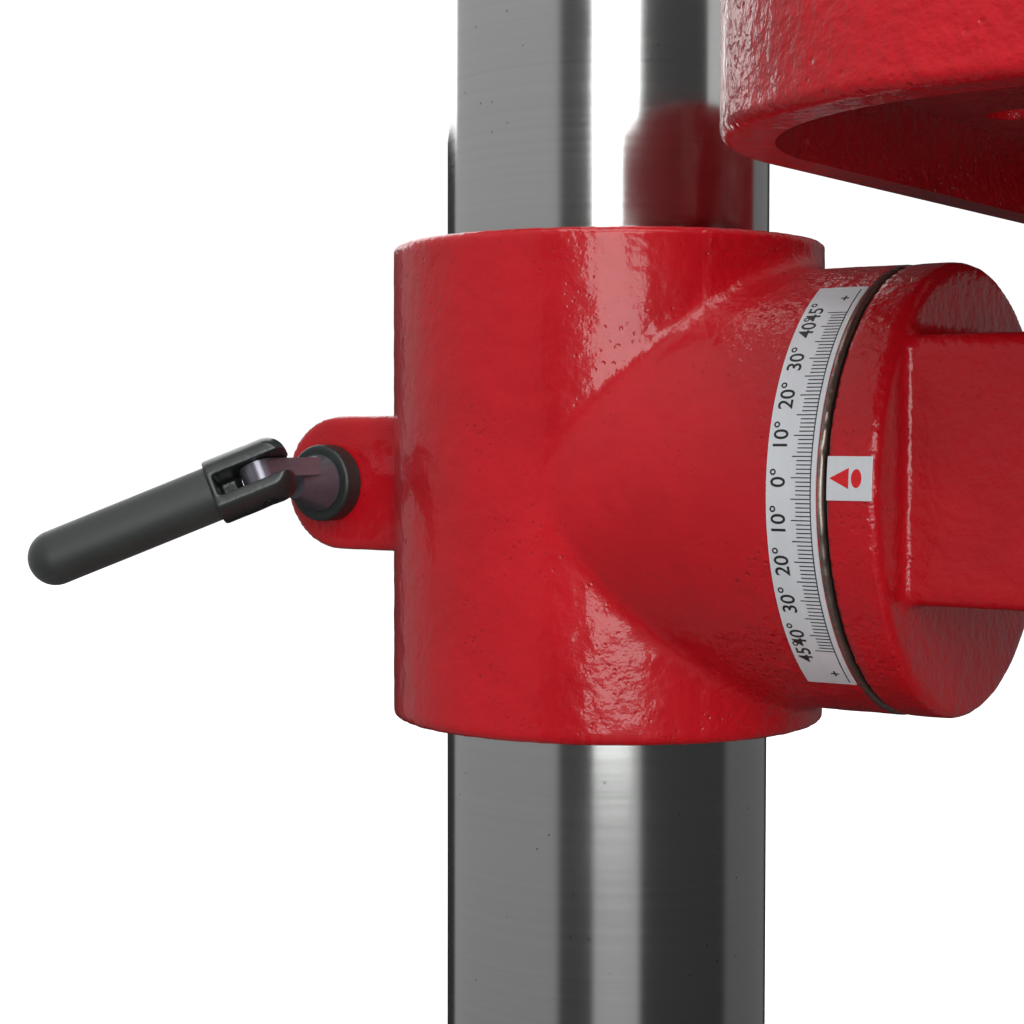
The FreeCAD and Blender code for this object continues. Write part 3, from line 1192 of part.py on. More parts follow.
def spindle_pulley():
    """Pulley with a splined bore that drives the spindle."""
    body = step_pulley(SPINDLE_STEPS, SPINDLE_Y, PULLEY_Z, SPINDLE_R + RUN)
    keys = spline_blocks(2.0, SPINDLE_R - 0.8, SPINDLE_R + 2, (PULLEY_Z, pulleys_top()))
    sleeve = ring(18, SPINDLE_R + RUN, PULLEY_Z - HEAD_TOP - TRAY_T - FREE + 1,
                  at(0, SPINDLE_Y, HEAD_TOP + TRAY_T + FREE), Z_AXIS)
    return joined(body, sleeve, *keys)


def idler_pulley():
    """Middle pulley."""
    return step_pulley(IDLER_STEPS, IDLER_Y, PULLEY_Z, IDLER_SHAFT_R + RUN)


def idler_shaft():
    """Post that the middle pulley turns on, set in the head."""
    low = HEAD_TOP - 36
    post = rod(IDLER_SHAFT_R, pulleys_top() + 5 - low, at(0, IDLER_Y, low), Z_AXIS)
    seat = HEAD_TOP + TRAY_T
    shoulder = rod(IDLER_SHAFT_R + 4, PULLEY_Z - FREE - seat, at(0, IDLER_Y, seat), Z_AXIS)
    return joined(post, shoulder)


def motor_pulley():
    """Pulley on the motor shaft."""
    return step_pulley(MOTOR_STEPS, MOTOR_Y, PULLEY_Z, MOTOR_SHAFT_R + RUN)


def belt_side(y_a, r_a, y_b, r_b, z, height):
    """Solid inside a belt line round two centres on the machine's middle plane."""
    span = y_b - y_a
    lean = math.asin((r_a - r_b) / span)
    side = [(math.cos(lean), math.sin(lean)), (-math.cos(lean), math.sin(lean))]
    right_a, left_a = [at(r_a * x, y_a + r_a * y, z) for x, y in side]
    right_b, left_b = [at(r_b * x, y_b + r_b * y, z) for x, y in side]
    edges = [Part.makeLine(right_a, right_b), Part.Arc(right_b, at(0, y_b + r_b, z), left_b).toShape(),
             Part.makeLine(left_b, left_a), Part.Arc(left_a, at(0, y_a - r_a, z), right_a).toShape()]
    return Part.Face(Part.Wire(edges)).extrude(Z_AXIS * height)


def belt(y_a, r_a, y_b, r_b, step):
    """Drive belt in the grooves of one step."""
    z = PULLEY_Z + (step + 0.5) * STEP_H - BELT_H / 2
    outer = [radius - BELT_DROP for radius in (r_a, r_b)]
    body = belt_side(y_a, outer[0], y_b, outer[1], z, BELT_H)
    return body.cut(belt_side(y_a, outer[0] - BELT_T, y_b, outer[1] - BELT_T, z, BELT_H))


def drive_belts():
    """Belt from the middle pulley to the spindle, and belt from the motor to the middle pulley."""
    front = belt(SPINDLE_Y, SPINDLE_STEPS[FRONT_STEP], IDLER_Y, IDLER_STEPS[FRONT_STEP], FRONT_STEP)
    rear = belt(IDLER_Y, IDLER_STEPS[REAR_STEP], MOTOR_Y, MOTOR_STEPS[REAR_STEP], REAR_STEP)
    return group([front, rear])


# ================================================================== belt cover
def cover_solid(radius, z, height):
    """Long oval round the pulleys."""
    return belt_side(SPINDLE_Y, radius, MOTOR_Y, radius - 0.01, z, height)


def cover_tray():
    """Sheet tray under the pulleys, with an upturned lip and two hinge ears with their fixed pins."""
    floor = cover_solid(COVER_R - COVER_WALL - FREE, HEAD_TOP + SEAT, TRAY_LIP)
    inside = cover_solid(COVER_R - 2 * COVER_WALL - FREE, HEAD_TOP + TRAY_T, TRAY_LIP)
    holes = [rod(radius, 10, at(0, y, HEAD_TOP - 1), Z_AXIS)
             for radius, y in ((19, SPINDLE_Y), (IDLER_SHAFT_R + FREE, IDLER_Y), (30, MOTOR_Y))]
    body = without(floor, inside, *holes)
    half = HINGE_EYE / 2
    lugs = [block((-hinge_reach(), -COVER_R + COVER_WALL + FREE + 1), (y - half, y + half),
                  (HEAD_TOP + SEAT, HEAD_TOP + TRAY_T)) for y in hinge_places()]
    eyes = [rod(HINGE_R, HINGE_EYE, at(-hinge_reach(), y - half, hinge_z()), Y_AXIS) for y in hinge_places()]
    end = HINGE_KNUCKLE_Y + HINGE_KNUCKLE / 2
    pins = [rod(HINGE_PIN_R, 2 * end, at(-hinge_reach(), y - end, hinge_z()), Y_AXIS) for y in hinge_places()]
    return joined(body, *lugs, *eyes, *pins)


def hinge_reach():
    """Distance of the lid's hinge axis left of the middle plane."""
    return COVER_R + 7


def hinge_z():
    """Height of the lid's hinge axis."""
    return HEAD_TOP + 4


def hinge_places():
    """Middles of the two hinges along Y."""
    return [SPINDLE_Y + 70, MOTOR_Y - 70]


def cover_lid():
    """Deep lid over the pulleys, hinged on the left."""
    low = HEAD_TOP + TRAY_T + 1
    outside = cover_solid(COVER_R, low, COVER_HEIGHT)
    outside = softened(outside, 10.0, level_at(low + COVER_HEIGHT))
    inside = cover_solid(COVER_R - COVER_WALL, low, COVER_HEIGHT - COVER_WALL)
    inside = softened(inside, 8.0, level_at(low + COVER_HEIGHT - COVER_WALL))
    knuckles = []
    for y in hinge_places():
        for sign in (-1, 1):
            start = y + sign * HINGE_KNUCKLE_Y - HINGE_KNUCKLE / 2
            knuckles.append(rod(HINGE_R, HINGE_KNUCKLE, at(-hinge_reach(), start, hinge_z()), Y_AXIS))
            knuckles.append(block((-hinge_reach() - 1, -COVER_R + 1), (start, start + HINGE_KNUCKLE),
                                  (hinge_z() + 1, hinge_z() + HINGE_R)))
    bores = [rod(HINGE_PIN_R + RUN, 44, at(-hinge_reach(), y - 22, hinge_z()), Y_AXIS)
             for y in hinge_places()]
    knob_hole = rod(LID_SCREW_R + RUN, 12, at(COVER_R - 6, lid_knob_y(), lid_knob_z()), X_AXIS)
    shell = joined(outside.cut(inside), *knuckles)
    return without(shell, *bores, knob_hole)


def lid_knob_y():
    """Place of the lid's knob along Y."""
    return SPINDLE_Y + 60


def lid_knob_z():
    """Height of the lid's knob."""
    return HEAD_TOP + 48


def lid_knob():
    """Knob that lifts the lid."""
    start = at(COVER_R + SEAT, lid_knob_y(), lid_knob_z())
    neck = rod(7, 8, start, X_AXIS)
    head = rod(13, 12, start + at(6, 0, 0), X_AXIS)
    head = softened(head, 3.0, lambda edge: edge.BoundBox.XLength < 0.001)
    screw = rod(LID_SCREW_R, 10, start - at(6, 0, 0), X_AXIS)
    return joined(neck, head, screw)


# ================================================================== motor
def slide_bar_z():
    """Height of the motor's slide bars."""
    return HEAD_TOP - 44


def plate_y():
    """Front face of the motor plate."""
    return COLUMN_Y + MOTOR_GAP - 22


def slide_bars():
    """Two bars that let the motor move back to tighten the belts."""
    start = COLUMN_Y + COLUMN_R + 4
    return group([rod(SLIDE_BAR_R, plate_y() + MOTOR_PLATE_T - start, at(x, start, slide_bar_z()), Y_AXIS)
                  for x in (-SLIDE_BAR_X, SLIDE_BAR_X)])


def motor_plate():
    """Vertical plate between the bars and the motor's foot."""
    body = block((-62, 62), (plate_y(), plate_y() + MOTOR_PLATE_T), (MOTOR_TOP - 150, MOTOR_TOP + 6))
    body = softened(body, 10.0, lambda edge: abs(edge.tangentAt(edge.FirstParameter).y) > 0.99)
    holes = [rod(SLIDE_BAR_R + RUN, MOTOR_PLATE_T, at(x, plate_y(), slide_bar_z()), Y_AXIS)
             for x in (-SLIDE_BAR_X, SLIDE_BAR_X)]
    bolts = [rod(MOTOR_BOLT_R + FREE, MOTOR_PLATE_T, at(x, plate_y(), z), Y_AXIS)
             for x, z in motor_bolt_points()]
    return without(body, *holes, *bolts)


def motor_bolt_points():
    """Places of the bolts through the motor's foot."""
    return [(x, MOTOR_TOP - z) for x in (-50, 50) for z in (40, 130)]


def motor_bolts():
    """Four bolts between the plate and the motor's foot."""
    bolts = []
    for x, z in motor_bolt_points():
        head = hexagon(13, 6, at(x, plate_y() - SEAT, z), -Y_AXIS)
        shank = rod(MOTOR_BOLT_R - RUN, MOTOR_PLATE_T + 10, at(x, plate_y() - SEAT, z), Y_AXIS)
        bolts.append(joined(head, shank))
    return group(bolts)


def motor_body():
    """Finned motor housing with its foot."""
    low = MOTOR_TOP - MOTOR_LENGTH
    core = rod(MOTOR_R - 5, MOTOR_LENGTH, at(0, MOTOR_Y, low), Z_AXIS)
    bands = [rod(MOTOR_R, 18, at(0, MOTOR_Y, z), Z_AXIS) for z in (low, MOTOR_TOP - 18)]
    fin = block((MOTOR_R - 8, MOTOR_R - 0.5), (MOTOR_Y - 1.2, MOTOR_Y + 1.2), (low + 10, MOTOR_TOP - 10))
    fins = [turned(fin, at(0, MOTOR_Y, 0), Z_AXIS, -60 + 7.5 * number) for number in range(41)]
    face = plate_y() + MOTOR_PLATE_T
    foot = block((-60, 60), (face + SEAT, MOTOR_Y - MOTOR_R * 0.7), (MOTOR_TOP - 144, MOTOR_TOP - 26))
    ring_top = rod(34, 6, at(0, MOTOR_Y, MOTOR_TOP), Z_AXIS)
    body = joined(core, *bands, *fins, foot, ring_top)
    body = body.cut(block((-48, 48), (face + 14, MOTOR_Y - MOTOR_R + 2), (MOTOR_TOP - 146, MOTOR_TOP - 24)))
    holes = [rod(MOTOR_BOLT_R, 14, at(x, face, z), Y_AXIS) for x, z in motor_bolt_points()]
    shaft_way = rod(MOTOR_SHAFT_R + RUN, 60, at(0, MOTOR_Y, MOTOR_TOP - 50), Z_AXIS)
    return without(body, shaft_way, *holes)


def motor_fan_cover():
    """Cup with air slots under the motor."""
    top = MOTOR_TOP - MOTOR_LENGTH - SEAT
    body = rod(MOTOR_R - 1, 26, at(0, MOTOR_Y, top), -Z_AXIS)
    body = softened(body, 6.0, level_at(top - 26))
    hollow = rod(MOTOR_R - 4, 22, at(0, MOTOR_Y, top), -Z_AXIS)
    vent = block((18, 50), (MOTOR_Y - 2, MOTOR_Y + 2), (top - 27, top - 20))
    vents = [turned(vent, at(0, MOTOR_Y, 0), Z_AXIS, 30 * number) for number in range(12)]
    return without(body, hollow, *vents)


def motor_shaft():
    """Motor shaft up to its pulley."""
    low = MOTOR_TOP - 48
    return rod(MOTOR_SHAFT_R, pulleys_top() - low, at(0, MOTOR_Y, low), Z_AXIS)


# ================================================================== switch
def switch_back():
    """Machined face of the head that the switch box sits on."""
    return SPINDLE_Y - HEAD_QUILL_R - 2


def switch_z():
    """Lower edge of the switch box."""
    return HEAD_Z + 62


def switch_box():
    """Plastic switch box with two button wells."""
    back = switch_back() - SEAT
    body = block((-SWITCH_WIDTH / 2, SWITCH_WIDTH / 2), (back - SWITCH_DEPTH, back),
                 (switch_z(), switch_z() + SWITCH_HEIGHT))
    body = softened(body, 6.0, lambda edge: edge.CenterOfMass.y < back - 1)
    hollow = block((-SWITCH_WIDTH / 2 + 4, SWITCH_WIDTH / 2 - 4), (back - SWITCH_DEPTH + 4, back),
                   (switch_z() + 4, switch_z() + SWITCH_HEIGHT - 4))
    wells = [rod(BUTTON_R + FREE, SWITCH_DEPTH, at(0, back - 5, z), -Y_AXIS) for z in button_heights()]
    return without(body, hollow, *wells)


def cable_gland():
    """Gland under the switch box where the mains lead goes in."""
    top = at(0, switch_back() - SWITCH_DEPTH / 2, switch_z() - SEAT)
    nut = hexagon(19, 6, top, -Z_AXIS)
    dome = Part.makeCone(8.5, 6.0, 14, top - at(0, 0, 6), -Z_AXIS)
    return joined(nut, dome).cut(rod(3.6, 20, top, -Z_AXIS))


def button_heights():
    """Heights of the stop and start buttons."""
    return [switch_z() + 27, switch_z() + SWITCH_HEIGHT - 27]


def button(z, proud, flare):
    """Round push button in its well."""
    front = switch_back() - SEAT - SWITCH_DEPTH
    stem = rod(BUTTON_R, proud + 16, at(0, front + 16, z), -Y_AXIS)
    if flare:
        cap = rod(BUTTON_R + flare, proud - BUTTON_TRAVEL - 1, at(0, front - BUTTON_TRAVEL - 1, z), -Y_AXIS)
        stem = joined(stem, cap)
    face = front - proud
    return softened(stem, 1.2, lambda edge: abs(edge.CenterOfMass.y - face) < 0.01)


def stop_button():
    """Red stop button with a wide cap."""
    return button(button_heights()[0], 14, 5)


def start_button():
    """Green start button."""
    return button(button_heights()[1], 4.5, 0)


NODES = {
    "base": base, "column_socket": column_socket, "socket_bolts": socket_bolts, "column": column,
    "rack": rack, "rack_collar": rack_collar,
    "table_bracket": table_bracket, "lift_gear": lift_gear, "lift_pin": lift_pin, "worm_shaft": worm_shaft,
    "crank_arm": crank_arm, "crank_spindle": crank_spindle, "crank_handle": crank_handle,
    "scale_label": scale_label,
    "clamp_stud": clamp_stud, "lever_fork": lever_fork, "lever_pin": lever_pin, "lever_grip": lever_grip,
    "clamp_nut": clamp_nut, "table_arm": table_arm, "tilt_bolt": tilt_bolt, "table": table,
    "table_lock": table_lock, "head_casting": head_casting, "grub_screws": grub_screws, "quill": quill,
    "quill_bearings": quill_bearings, "spindle": spindle, "feed_shaft": feed_shaft, "feed_hub": feed_hub,
    "feed_handles": feed_handles, "feed_knobs": feed_knobs, "spring_cap": spring_cap,
    "return_spring": return_spring, "stop_ring": stop_ring, "stop_rod": stop_rod, "stop_nuts": stop_nuts,
    "chuck_body": chuck_body, "chuck_sleeve": chuck_sleeve,
    "chuck_jaw_1": lambda: chuck_jaw(0), "chuck_jaw_2": lambda: chuck_jaw(1),
    "chuck_jaw_3": lambda: chuck_jaw(2),
    "spindle_pulley": spindle_pulley, "idler_pulley": idler_pulley, "idler_shaft": idler_shaft,
    "motor_pulley": motor_pulley, "drive_belts": drive_belts,
    "cover_tray": cover_tray, "cover_lid": cover_lid, "lid_knob": lid_knob,
    "slide_bars": slide_bars, "motor_plate": motor_plate, "motor_bolts": motor_bolts,
    "motor_body": motor_body, "motor_fan_cover": motor_fan_cover, "motor_shaft": motor_shaft,
    "cable_gland": cable_gland, "switch_box": switch_box, "stop_button": stop_button,
    "start_button": start_button,
}


def main():
    """Build every node and write it as a STEP file."""
    os.makedirs("parts", exist_ok=True)
    for name, make in NODES.items():
        shape = make()
        if not shape.isValid() or not shape.Solids:
            raise ValueError("the solid of " + name + " is not sound")
        shape.exportStep("parts/" + name + ".step")


if __name__ == "__main__":
    main()
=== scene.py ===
"""Bench drill press: finishes, cast pieces, dial marks and studio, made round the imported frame."""

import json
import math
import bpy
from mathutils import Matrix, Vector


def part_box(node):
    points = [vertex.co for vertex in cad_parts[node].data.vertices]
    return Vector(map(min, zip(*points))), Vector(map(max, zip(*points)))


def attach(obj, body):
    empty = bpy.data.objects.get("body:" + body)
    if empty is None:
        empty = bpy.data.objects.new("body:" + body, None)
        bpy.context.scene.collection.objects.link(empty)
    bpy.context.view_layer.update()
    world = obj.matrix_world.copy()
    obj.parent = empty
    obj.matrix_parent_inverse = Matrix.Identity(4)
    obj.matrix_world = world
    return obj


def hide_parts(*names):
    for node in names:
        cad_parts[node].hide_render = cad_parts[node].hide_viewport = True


bl_info = {
    "name": "Bench drill press",
    "version": (1, 0, 0),
    "blender": (4, 5, 0),
    "location": "3D View > Sidebar > Drill Press",
    "description": "Castings, finishes, dial marks and studio for a bench drill press",
    "category": "Object",
}

import bpy
from mathutils import Matrix, Vector

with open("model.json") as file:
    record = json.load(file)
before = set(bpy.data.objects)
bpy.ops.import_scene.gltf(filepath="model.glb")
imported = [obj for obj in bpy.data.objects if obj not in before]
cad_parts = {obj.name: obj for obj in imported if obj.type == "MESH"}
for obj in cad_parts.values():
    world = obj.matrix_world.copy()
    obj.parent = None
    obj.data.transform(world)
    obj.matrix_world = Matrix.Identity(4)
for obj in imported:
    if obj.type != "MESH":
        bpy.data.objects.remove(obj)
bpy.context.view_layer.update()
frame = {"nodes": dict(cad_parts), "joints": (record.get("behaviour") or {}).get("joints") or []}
JOINT_PLACE = {joint["name"]: Vector(joint["pos_m"]) for joint in frame["joints"] if "pos_m" in joint}

MM = 0.001
FRONT = (-0.811, -0.585, 0.0)            # from the object towards the camera
RIGHT = (0.585, -0.811, 0.0)             # to the camera's right
WALLS = (                                # studio walls: degrees from FRONT, brightness
    (-180, 0.03), (-148, 0.04), (-144, 0.38), (-41, 0.36), (-36, 0.08), (-15, 0.08), (-12, 0.5),
    (17, 0.5), (21, 0.06), (86, 0.05), (91, 0.15), (150, 0.17), (155, 0.03), (180, 0.03))
ZERO_ANGLE = math.radians(4)             # where the tilt scale reads zero, above the horizontal
TABLE_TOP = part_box("table")[1].z
BASE_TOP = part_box("base")[1].z
SCALE_NUMBERS = (-45, -40, -30, -20, -10, 0, 10, 20, 30, 40, 45)
CAP_HEIGHT = 0.72                        # a capital's height, as a share of the font's size
PRINT = 0.05 * MM                        # thickness of a printed mark
POINTER_INK = 0.04 * MM                  # thickness of the pointer's print
INK_SPREAD = 0.05 * MM                   # how much the print fattens the numerals
STUD_COLLAR = 6.1 * MM                   # from the stud's axis out to its black collar
FOIL = 0.3 * MM                          # thickness of the pointer's plate


# ---------------------------------------------------------------- settings

class EnamelSettings(bpy.types.PropertyGroup):
    """Paint on the castings."""

    colour: bpy.props.FloatVectorProperty(
        name="Enamel", description="Colour of the gloss enamel", subtype="COLOR",
        size=3, min=0, max=1, default=(0.47, 0.004, 0.010))
    grain: bpy.props.FloatProperty(
        name="Casting grain", description="Bumps per metre in the painted sand-cast skin",
        default=560, min=50)
    relief: bpy.props.FloatProperty(
        name="Casting relief", description="Depth of the cast skin under the paint",
        subtype="DISTANCE", unit="LENGTH", default=0.00034, min=0)
    voxel: bpy.props.FloatProperty(
        name="Casting detail", description="Cell size used to round the castings",
        subtype="DISTANCE", unit="LENGTH", default=0.0012, min=0.0005)


class ScaleSettings(bpy.types.PropertyGroup):
    """Tilt scale and its pointer."""

    reach: bpy.props.IntProperty(
        name="Reach", description="Degrees marked each side of zero", default=45, min=5)
    text_height: bpy.props.FloatProperty(
        name="Numeral height", description="Height of the scale's numerals",
        subtype="DISTANCE", unit="LENGTH", default=0.0034, min=0.001)
    line: bpy.props.FloatProperty(
        name="Line", description="Width of the scale's lines", subtype="DISTANCE", unit="LENGTH",
        default=0.00023, min=0.00005)
    ink: bpy.props.FloatVectorProperty(
        name="Ink", description="Colour of the printed marks", subtype="COLOR",
        size=3, min=0, max=1, default=(0.012, 0.012, 0.013))
    pointer: bpy.props.FloatVectorProperty(
        name="Pointer", description="Colour of the printed pointer", subtype="COLOR",
        size=3, min=0, max=1, default=(0.62, 0.008, 0.012))


class StudioSettings(bpy.types.PropertyGroup):
    """Camera, floor and lamps."""

    camera: bpy.props.FloatVectorProperty(
        name="Camera", description="Where the camera stands", subtype="TRANSLATION", unit="LENGTH",
        size=3, default=(-0.44596, -0.12652, 0.41264))
    heading: bpy.props.FloatProperty(
        name="Heading", description="Way the camera faces, from the X axis towards the Y axis",
        subtype="ANGLE", default=math.radians(35.82))
    dip: bpy.props.FloatProperty(
        name="Dip", description="How far the camera looks down", subtype="ANGLE",
        default=math.radians(1.969))
    lens: bpy.props.FloatProperty(
        name="Lens", description="Focal length in millimetres", default=72.42, min=10)
    shift: bpy.props.FloatVectorProperty(
        name="Shift", description="Shift of the lens, as a share of the frame",
        size=2, default=(0.0819, -0.0065))
    floor: bpy.props.FloatVectorProperty(
        name="Floor", description="Colour of the floor", subtype="COLOR",
        size=3, min=0, max=1, default=(0.9, 0.9, 0.9))


# ---------------------------------------------------------------- shader tools

def add(tree, kind, **values):
    """A node with its settings and its unlinked inputs."""
    node = tree.nodes.new(kind)
    for name, value in values.items():
        if name in node.inputs:
            node.inputs[name].default_value = value
        else:
            setattr(node, name, value)
    return node


def new_group(name, inputs, outputs):
    """An empty shader group with float, vector or colour sockets."""
    tree = bpy.data.node_groups.new(name, "ShaderNodeTree")
    for label, kind, default in inputs:
        socket = tree.interface.new_socket(label, in_out="INPUT", socket_type=kind)
        socket.default_value = default
    for label, kind in outputs:
        tree.interface.new_socket(label, in_out="OUTPUT", socket_type=kind)
    return tree, tree.nodes.new("NodeGroupInput"), tree.nodes.new("NodeGroupOutput")


def maths(tree, operation, first, second=None):
    """A Math node fed by sockets or numbers; returns its result."""
    node = add(tree, "ShaderNodeMath", operation=operation)
    for number, source in enumerate((first, second)):
        if source is None:
            continue
        if isinstance(source, bpy.types.NodeSocket):
            tree.links.new(source, node.inputs[number])
        else:
            node.inputs[number].default_value = source
    return node.outputs[0]


def spread(tree, source, low, high, to_low=0.0, to_high=1.0):
    """The source's range from low to high, stretched to a new range."""
    node = add(tree, "ShaderNodeMapRange")
    tree.links.new(source, node.inputs["Value"])
    node.inputs["From Min"].default_value = low
    node.inputs["From Max"].default_value = high
    node.inputs["To Min"].default_value = to_low
    node.inputs["To Max"].default_value = to_high
    return node.outputs["Result"]


def noise(tree, vector, scale, detail=2.0, roughness=0.5):
    """Noise on a vector, at a scale given by a number or a socket."""
    node = add(tree, "ShaderNodeTexNoise", Detail=detail, Roughness=roughness)
    tree.links.new(vector, node.inputs["Vector"])
    if isinstance(scale, bpy.types.NodeSocket):
        tree.links.new(scale, node.inputs["Scale"])
    else:
        node.inputs["Scale"].default_value = scale
    return node.outputs["Fac"]


def place(tree):
    """Object coordinates."""
    return tree.nodes.new("ShaderNodeTexCoord").outputs["Object"]


def group_cast_skin():
    """Orange-peel paint over a sand casting, with pits."""
    tree, given, result = new_group(
        "Cast skin", [("Grain", "NodeSocketFloat", 560.0), ("Pitting", "NodeSocketFloat", 0.5)],
        [("Height", "NodeSocketFloat"), ("Pits", "NodeSocketFloat")])
    where = place(tree)
    grain = given.outputs["Grain"]
    broad = noise(tree, where, maths(tree, "MULTIPLY", grain, 0.35), 1.0)
    peel = noise(tree, where, grain, 2.0, 0.45)
    fine = noise(tree, where, maths(tree, "MULTIPLY", grain, 3.1), 1.0)
    cells = add(tree, "ShaderNodeTexVoronoi", feature="SMOOTH_F1", Smoothness=0.35)
    tree.links.new(where, cells.inputs["Vector"])
    tree.links.new(maths(tree, "MULTIPLY", grain, 0.9), cells.inputs["Scale"])
    pits = spread(tree, cells.outputs["Distance"], 0.05, 0.28, 1.0, 0.0)
    chosen = spread(tree, noise(tree, where, maths(tree, "MULTIPLY", grain, 0.12), 2.0), 0.46, 0.66)
    pits = maths(tree, "MULTIPLY", pits, maths(tree, "MULTIPLY", chosen, given.outputs["Pitting"]))
    height = maths(tree, "ADD", maths(tree, "MULTIPLY", broad, 1.3), peel)
    height = maths(tree, "ADD", height, maths(tree, "MULTIPLY", fine, 0.2))
    height = maths(tree, "SUBTRACT", height, pits)
    tree.links.new(height, result.inputs["Height"])
    tree.links.new(pits, result.inputs["Pits"])
    return tree


def group_machined():
    """Tool lines: noise drawn out along a surface."""
    tree, given, result = new_group(
        "Machined lines", [("Stretch", "NodeSocketVector", (10.0, 10.0, 3000.0))],
        [("Lines", "NodeSocketFloat"), ("Streaks", "NodeSocketFloat")])
    scaled = add(tree, "ShaderNodeVectorMath", operation="MULTIPLY")
    tree.links.new(place(tree), scaled.inputs[0])
    tree.links.new(given.outputs["Stretch"], scaled.inputs[1])
    lines = noise(tree, scaled.outputs[0], 1.0, 3.0, 0.7)
    slower = add(tree, "ShaderNodeVectorMath", operation="SCALE", Scale=0.14)
    tree.links.new(scaled.outputs[0], slower.inputs[0])
    streaks = noise(tree, slower.outputs[0], 1.0, 2.0, 0.6)
    tree.links.new(lines, result.inputs["Lines"])
    tree.links.new(streaks, result.inputs["Streaks"])
    return tree


def group_handling():
    """Slow changes in gloss and tone from dust and handling, with a few specks."""
    tree, given, result = new_group(
        "Handling", [("Scale", "NodeSocketFloat", 30.0)],
        [("Smears", "NodeSocketFloat"), ("Specks", "NodeSocketFloat")])
    where = place(tree)
    smears = noise(tree, where, given.outputs["Scale"], 4.0, 0.6)
    dots = add(tree, "ShaderNodeTexVoronoi")
    tree.links.new(where, dots.inputs["Vector"])
    tree.links.new(maths(tree, "MULTIPLY", given.outputs["Scale"], 9.0), dots.inputs["Scale"])
    specks = spread(tree, dots.outputs["Distance"], 0.035, 0.06, 1.0, 0.0)
    tree.links.new(spread(tree, smears, 0.3, 0.7), result.inputs["Smears"])
    tree.links.new(specks, result.inputs["Specks"])
    return tree


def group_band():
    """1 where one Object coordinate lies between two values."""
    tree, given, result = new_group(
        "Band", [("Axis", "NodeSocketVector", (0.0, 0.0, 1.0)), ("From", "NodeSocketFloat", 0.0),
                 ("To", "NodeSocketFloat", 1.0), ("Blur", "NodeSocketFloat", 0.0001)],
        [("Mask", "NodeSocketFloat")])
    along = add(tree, "ShaderNodeVectorMath", operation="DOT_PRODUCT")
    tree.links.new(place(tree), along.inputs[0])
    tree.links.new(given.outputs["Axis"], along.inputs[1])
    ragged = noise(tree, place(tree), 900.0, 2.0)
    ragged = maths(tree, "MULTIPLY", maths(tree, "SUBTRACT", ragged, 0.5), given.outputs["Blur"])
    value = maths(tree, "ADD", along.outputs["Value"], ragged)
    above = maths(tree, "GREATER_THAN", value, given.outputs["From"])
    below = maths(tree, "LESS_THAN", value, given.outputs["To"])
    tree.links.new(maths(tree, "MULTIPLY", above, below), result.inputs["Mask"])
    return tree


GROUPS = {"cast": group_cast_skin, "machined": group_machined, "handling": group_handling,
          "band": group_band}


def use(tree, name, **values):
    """The shared group, placed in a material with its own values."""
    shared = bpy.data.node_groups.get("Press " + name)
    if shared is None:
        shared = GROUPS[name]()
        shared.name = "Press " + name
    node = tree.nodes.new("ShaderNodeGroup")
    node.node_tree = shared
    for label, value in values.items():
        node.inputs[label].default_value = value
    return node


def new_material(name, metallic=0.0, roughness=0.5, **fixed):
    """A material with one Principled shader; returns its tree and shader."""
    material = bpy.data.materials.new(name)
    material.use_nodes = True
    shader = material.node_tree.nodes["Principled BSDF"]
    shader.inputs["Metallic"].default_value = metallic
    shader.inputs["Roughness"].default_value = roughness
    for label, value in fixed.items():
        shader.inputs[label.replace("_", " ")].default_value = value
    return material, material.node_tree, shader


def blend_colours(tree, factor, first, second):
    """Mix of two colours, each a socket or a fixed colour."""
    node = add(tree, "ShaderNodeMix", data_type="RGBA")
    tree.links.new(factor, node.inputs[0])
    for socket, source in ((node.inputs[6], first), (node.inputs[7], second)):
        if isinstance(source, bpy.types.NodeSocket):
            tree.links.new(source, socket)
        else:
            socket.default_value = (*source, 1.0)
    return node.outputs[2]


def bump(tree, shader, height, depth):
    """Relief of a real depth, on the paint and on its clear coat."""
    node = add(tree, "ShaderNodeBump", Distance=depth, Strength=1.0)
    tree.links.new(height, node.inputs["Height"])
    tree.links.new(node.outputs["Normal"], shader.inputs["Normal"])
    tree.links.new(node.outputs["Normal"], shader.inputs["Coat Normal"])


def even_mix(tree, first, second):
    """Mean of two values."""
    return maths(tree, "ADD", maths(tree, "MULTIPLY", first, 0.5), maths(tree, "MULTIPLY", second, 0.5))


def tint(colour, factor):
    """The colour, lighter or darker."""
    return tuple(min(1.0, channel * factor) for channel in colour)


# ---------------------------------------------------------------- finishes

BARE_IRON = (0.23, 0.19, 0.165)
ENAMEL_COAT = 0.5
UP = (0.0, 0.0, 1.0)
OUT = (0.0, 1.0, 0.0)                    # along Y, from the operator to the column


def away_from_column(tree, radius):
    """0 on the column's collar, rising to 1 just outside its radius."""
    flat = add(tree, "ShaderNodeVectorMath", operation="MULTIPLY_ADD")
    tree.links.new(place(tree), flat.inputs[0])
    flat.inputs[1].default_value = (1, 1, 0)
    flat.inputs[2].default_value = (0, -JOINT_PLACE["table_tilt"].y, 0)
    reach = add(tree, "ShaderNodeVectorMath", operation="LENGTH")
    tree.links.new(flat.outputs[0], reach.inputs[0])
    return spread(tree, reach.outputs["Value"], radius + 0.3 * MM, radius + 2.5 * MM)


